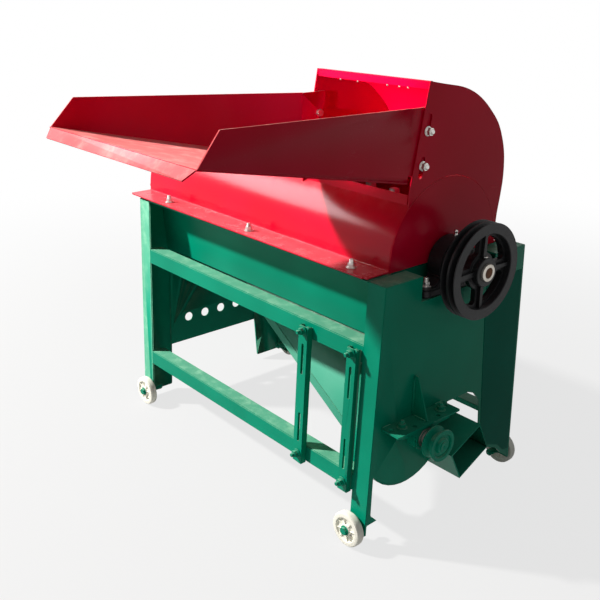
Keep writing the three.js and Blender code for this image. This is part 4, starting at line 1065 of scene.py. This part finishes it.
def pillow_block(side, x, node, head_top):
    """A cast housing on its foot, with the bearing ring, its collar and a grease nipple."""
    mesh = bmesh.new()
    prism(mesh, [(x + a, b) for a, b in BLOCK_FOOT], "Z", (432.3, 446.5))
    outline = [(-66, BLOCK_BASE)] + BLOCK_SHOULDER + arc(DRUM_AXIS, 44, 200, -20, 40)
    outline += mirrored(BLOCK_SHOULDER) + [(66, BLOCK_BASE)]
    prism(mesh, outline, "X", (x - HOUSING_HALF, x + HOUSING_HALF))
    piece(f"{side}_bearing_housing", "frame", black, mesh, [node], cut=2.6, smooth=50)

    mesh = bmesh.new()
    on_both_faces(mesh, BLOCK_RING, DRUM_AXIS, x, HOUSING_HALF, 64)
    piece(f"{side}_bearing_ring", "frame", black, mesh, cut=0, flat=False)

    mesh = bmesh.new()
    on_both_faces(mesh, BLOCK_SEAL, DRUM_AXIS, x, HOUSING_HALF, 64)
    turned(mesh, [(r, x + along) for r, along in BLOCK_COLLAR], "X", DRUM_AXIS, 48)
    piece(f"{side}_bearing_insert", "frame", steel, mesh, cut=0, flat=False)

    mesh = bmesh.new()
    for y in (-FOOT_BOLT_REACH, FOOT_BOLT_REACH):
        washer(mesh, 10.5, "Z", (x, y), (446.6, 448.4))
        hexagon(mesh, 7.0, "Z", (x, y), (448.4, 454.2), turn=y)
        turned(mesh, [(0, 446), (4.9, 446)] + thread(4.9, 454.2, 461, 1), "Z", (x, y), 24)
        hexagon(mesh, 7.0, "Z", (x, y), (head_top - 6.5, head_top), turn=y)
        neck = [(0, head_top - 1), (4.5, head_top - 1), (4.5, BLOCK_BASE), (0, BLOCK_BASE)]
        turned(mesh, neck, "Z", (x, y), 16)
    turned(mesh, NIPPLE, "Z", (x, 6), 20)
    piece(f"{side}_bearing_bolts", "frame", zinc, mesh, cut=0, smooth=38, flat=False)


pillow_block("pulley_end", 349.3, "drum_bearing_right", 428.6)
pillow_block("cob_end", -420, "drum_bearing_left", 427.6)


# Shelf, gusset and bearing of the fan

SHELF_EDGE = 410.3
SHELF_SPAN = (226.3, 229.3)
SHELF_HOLES = ((384, -162), (400, -124), (400, -66), (384, -30))
GUSSET = [(END_FACE, 228.8), (404.3, 228.8), (377.5, 303.3), (END_FACE, 303.3)]
FAN_HOUSING_HALF = 12
FAN_FOOT = rounded([(-14, -62), (14, -62), (14, 62), (-14, 62)], 10)
FAN_SHOULDER = [(-50, 219), (-46, 214.5), (-34, 213), (-26, 208)]
FAN_SEAL = [(8.4, -2), (18, -2), (18, 0.5), (12, -0.2), (12, 1.8), (8.4, 1.8)]


def fan_shelf():
    outline = [(END_FACE, -172), (SHELF_EDGE, -172), (SHELF_EDGE, -20), (END_FACE, -20)]
    plate(
        "fan_shelf_plate", plain_green, rounded(outline, 3), "Z", SHELF_SPAN,
        holes=[circle(place, 4.4, 24) for place in SHELF_HOLES],
        stands_for=["fan_shelf"], cut=0.5,
    )
    plate("fan_shelf_gusset", green, rounded(GUSSET, 2), "Y", (-97.5, -94.5), cut=0.5)
    mesh = bmesh.new()
    for y in (-98.3, -93.7):
        bead(mesh, (371.4, y, 230.5), (371.4, y, 300), 1.9, seed=y)
        bead(mesh, (373, y, 230.2), (402, y, 230.2), 1.9, seed=-y)
    for start, end in ((-170, -150), (-42, -22)):
        bead(mesh, (371, start, 229.8), (371, end, 229.8), 1.8)
    piece("fan_shelf_welds", "frame", green, mesh, cut=0, flat=False)


def fan_bearing():
    x, y = FAN_BEARING_X, FAN_AXIS[0]
    mesh = bmesh.new()
    prism(mesh, [(x + a, b + y) for a, b in FAN_FOOT], "Z", (215.4, 226.0))
    outline = [(-50, 224)] + FAN_SHOULDER + arc((0, FAN_AXIS[1]), 24, 160, 380, 32)
    outline += mirrored(FAN_SHOULDER) + [(50, 224)]
    span = (x - FAN_HOUSING_HALF, x + FAN_HOUSING_HALF)
    prism(mesh, [(a + y, b) for a, b in outline], "X", span)
    piece(
        "fan_bearing_housing", "frame", plain_green, mesh, ["fan_bearing"], cut=2.0, smooth=50
    )
    mesh = bmesh.new()
    on_both_faces(mesh, FAN_SEAL, FAN_AXIS, x, FAN_HOUSING_HALF, 40)
    piece("fan_bearing_insert", "frame", steel, mesh, cut=0, flat=False)


fan_shelf()
fan_bearing()


# Wheels and their bolts

AXLE_X = 341.0
AXLE_Z = 32.5
WHEEL_RIBS = 8
WHEEL_RIB = [(10.6, -1.0), (23.2, -1.0), (23.2, 1.0), (10.6, 1.0)]
WHEEL_PROFILE = [
    (4.35, 201.8), (10.3, 201.8), (10.9, 202.4), (11.2, 205.6), (12.4, 206.9), (20.9, 206.9),
    (22.5, 205.8), (22.9, 204.3), (23.7, 203.7), (29.4, 203.7), (31.3, 204.7), (32.3, 206.7),
    (32.5, 209.0), (32.5, 214.3), (32.3, 216.6), (31.3, 218.6), (29.4, 219.6), (23.7, 219.6),
    (22.9, 219.0), (22.5, 217.5), (20.9, 216.4), (12.4, 216.4), (11.2, 217.5), (10.9, 219.0),
    (10.3, 219.6), (4.35, 219.6),
]


def wheel(end, side, body):
    """A moulded wheel, turned in one piece, with ribs in the hollows of both its faces."""
    name = body.replace("caster", "wheel")
    axle = (end * AXLE_X, AXLE_Z)
    spindle(
        name + "_moulding", body, nylon, [(r, side * y) for r, y in WHEEL_PROFILE], axle, 72,
        axis="Y", stands_for=[name], smooth=32,
    )
    mesh = bmesh.new()
    for k in range(WHEEL_RIBS):
        outline = spun(WHEEL_RIB, axle, TURN * k / WHEEL_RIBS + 0.2)
        prism(mesh, outline, "Y", sorted((side * 216.0, side * 218.6)))
        prism(mesh, outline, "Y", sorted((side * 204.8, side * 207.4)))
    piece(name + "_ribs", body, nylon, mesh, cut=0.4)


def wheel_bolt(end, side, name):
    """The axle bolt: head and washer outside the wheel, and a long stack of nuts inside the leg."""
    mesh = bmesh.new()
    axle = (end * AXLE_X, AXLE_Z)
    for outer, near, far in ((9.2, 219.8, 221.0), (8.6, 196.8, 195.6)):
        washer(mesh, outer, "Y", axle, (side * near, side * far))
    for near, far, turn in ((221.0, 225.3, 0.3 * end), (195.6, 188.4, 0.5), (183.0, 175.0, 0.9)):
        hexagon(mesh, 7.4, "Y", axle, (side * near, side * far), turn)
    spacer = [(3.9, 188.6), (3.9, 183.0), (6.9, 183.0), (6.9, 188.6)]
    turned(mesh, [(r, side * y) for r, y in spacer], "Y", axle, 32)
    shank = [(0, side * 220), (4, side * 220), (4, side * 176)]
    shank += thread(BOLT_RADIUS, side * 175, side * 171.0, -side)
    turned(mesh, shank, "Y", axle, 24)
    piece(name + "_hex", "frame", green, mesh, [name], cut=0, smooth=38, flat=False)


for end_name, end in (("left", -1), ("right", 1)):
    for side_name, side in (("front", -1), ("back", 1)):
        wheel(end, side, f"caster_{end_name}_{side_name}")
        wheel_bolt(end, side, f"wheel_bolt_{end_name}_{side_name}")


# Weld beads where the rails meet the legs

RAIL_TOPS = (368.5, 130.5)
RAIL_WELD_X = 331.9


def frame_welds():
    mesh = bmesh.new()
    for end in (-1, 1):
        for side in (-1, 1):
            for top in RAIL_TOPS:
                x, leg, z = end * RAIL_WELD_X, leg_face(top), top + 0.2
                bead(mesh, (x, side * (leg - 2), z), (x, side * (leg - 24), z), 1.6, seed=top)
    piece("frame_welds", "frame", green, mesh, cut=0, flat=False)


frame_welds()


# Stage, light and camera

FLOOR_SIZE = 14.0
FLOOR_DROP = 0.0004
FLOOR_GREY = (0.36, 0.36, 0.36)
NEAR_GLOW, GLOW_FROM, GLOW_TO = 0.76, 0.7, 2.6
WORLD_LIGHT, WORLD_STRENGTH = (0.93, 0.97, 1.0), 0.15


def pale_floor():
    """White far off, and pale with the machine's shadow near it."""
    floor = Finish(
        "pale_floor", None, Base_Color=FLOOR_GREY, Roughness=0.9, Specular_IOR_Level=0.1
    )
    away = floor.node(
        "ShaderNodeVectorMath", {"operation": "LENGTH"}, {0: floor.coordinates}, "Value"
    )
    shown = floor.ray("Camera").most(floor.ray("Glossy"))
    share = away.step(GLOW_FROM, GLOW_TO, NEAR_GLOW) * shown
    paint = Field(floor, floor.shader.outputs[0])
    glow = floor.node("ShaderNodeEmission", {}, {})
    surface = floor.tree.nodes["Material Output"].inputs["Surface"]
    floor.join(surface, floor.either(share, paint, glow))
    return floor.material


def stage():
    grid = bmesh.new()
    bmesh.ops.create_grid(grid, x_segments=1, y_segments=1, size=FLOOR_SIZE)
    data = bpy.data.meshes.new("floor")
    grid.to_mesh(data)
    grid.free()
    data.materials.append(pale_floor())
    floor = bpy.data.objects.new("floor", data)
    bpy.context.scene.collection.objects.link(floor)
    floor.location.z = -FLOOR_DROP


def surroundings():
    """White to the eye and in reflections, and a faint even light on the machine."""
    world = bpy.data.worlds.new("studio")
    world.use_nodes = True
    nodes = Nodes(world.node_tree)
    shown = nodes.ray("Camera").most(nodes.ray("Glossy")).most(nodes.ray("Transmission"))
    dim = nodes.node(
        "ShaderNodeBackground", {}, {"Color": WORLD_LIGHT, "Strength": WORLD_STRENGTH}
    )
    white = nodes.node("ShaderNodeBackground", {}, {"Color": (1.0, 1.0, 1.0), "Strength": 1.0})
    surface = world.node_tree.nodes["World Output"].inputs["Surface"]
    nodes.join(surface, nodes.either(shown, dim, white))
    bpy.context.scene.world = world


def lamp(name, kind, place, target, power, colour, **settings):
    light = bpy.data.lights.new(name, kind)
    light.energy = power
    light.color = colour
    for setting, value in settings.items():
        setattr(light, setting, value)
    thing = bpy.data.objects.new(name, light)
    bpy.context.scene.collection.objects.link(thing)
    thing.location = place
    aim = Vector(target) - Vector(place)
    thing.rotation_euler = aim.to_track_quat("-Z", "Y").to_euler()
    return thing


stage()
surroundings()

key = lamp(
    "key", "AREA", (-2.35, -1.95, 2.8), (0.0, 0.1, 0.45), 330, (1.0, 0.98, 0.95),
    shape="DISK", size=0.24,
)
key.visible_glossy = False

# A soft box that shows only in reflections, where it makes the cover's highlight
sky = lamp(
    "sky", "AREA", (-2.52, -1.77, 2.37), (0.0, 0.05, 0.5), 105, (0.97, 0.99, 1.0),
    shape="DISK", size=1.7,
)
sky.visible_diffuse = False

lamp(
    "fill", "AREA", (3.4, -0.6, 2.4), (0.0, 0.0, 0.4), 5, (0.95, 0.98, 1.0),
    shape="DISK", size=2.6,
)

# A narrow soft lamp that looks over the tray into the hood
lamp(
    "mouth", "SPOT", (0.32, -2.45, 0.99), (0.19, 0.24, 0.735), 900, (1.0, 0.97, 0.93),
    spot_size=math.radians(6.6), spot_blend=0.5, shadow_soft_size=0.05,
)

CAMERA_PLACE = (1173.5, -1019.4, 900.7)
CAMERA_YAW, CAMERA_PITCH = -0.8727, 0.4219
FOCAL_PX, MIDDLE_PX, IMAGE_PX = 813.0, (300.0, 345.0), 600


def photo_camera():
    camera = bpy.data.cameras.new("camera")
    thing = bpy.data.objects.new("camera", camera)
    bpy.context.scene.collection.objects.link(thing)
    level = math.cos(CAMERA_PITCH)
    forward = Vector((
        math.sin(CAMERA_YAW) * level, math.cos(CAMERA_YAW) * level, -math.sin(CAMERA_PITCH)
    ))
    thing.location = set_down(CAMERA_PLACE)
    thing.rotation_euler = forward.to_track_quat("-Z", "Y").to_euler()
    camera.sensor_width = 36.0
    camera.lens = FOCAL_PX / IMAGE_PX * camera.sensor_width
    camera.shift_x = (IMAGE_PX / 2 - MIDDLE_PX[0]) / IMAGE_PX
    camera.shift_y = (MIDDLE_PX[1] - IMAGE_PX / 2) / IMAGE_PX
    camera.clip_end = 100.0
    bpy.context.scene.camera = thing


photo_camera()
bpy.context.scene.view_settings.view_transform = "Standard"
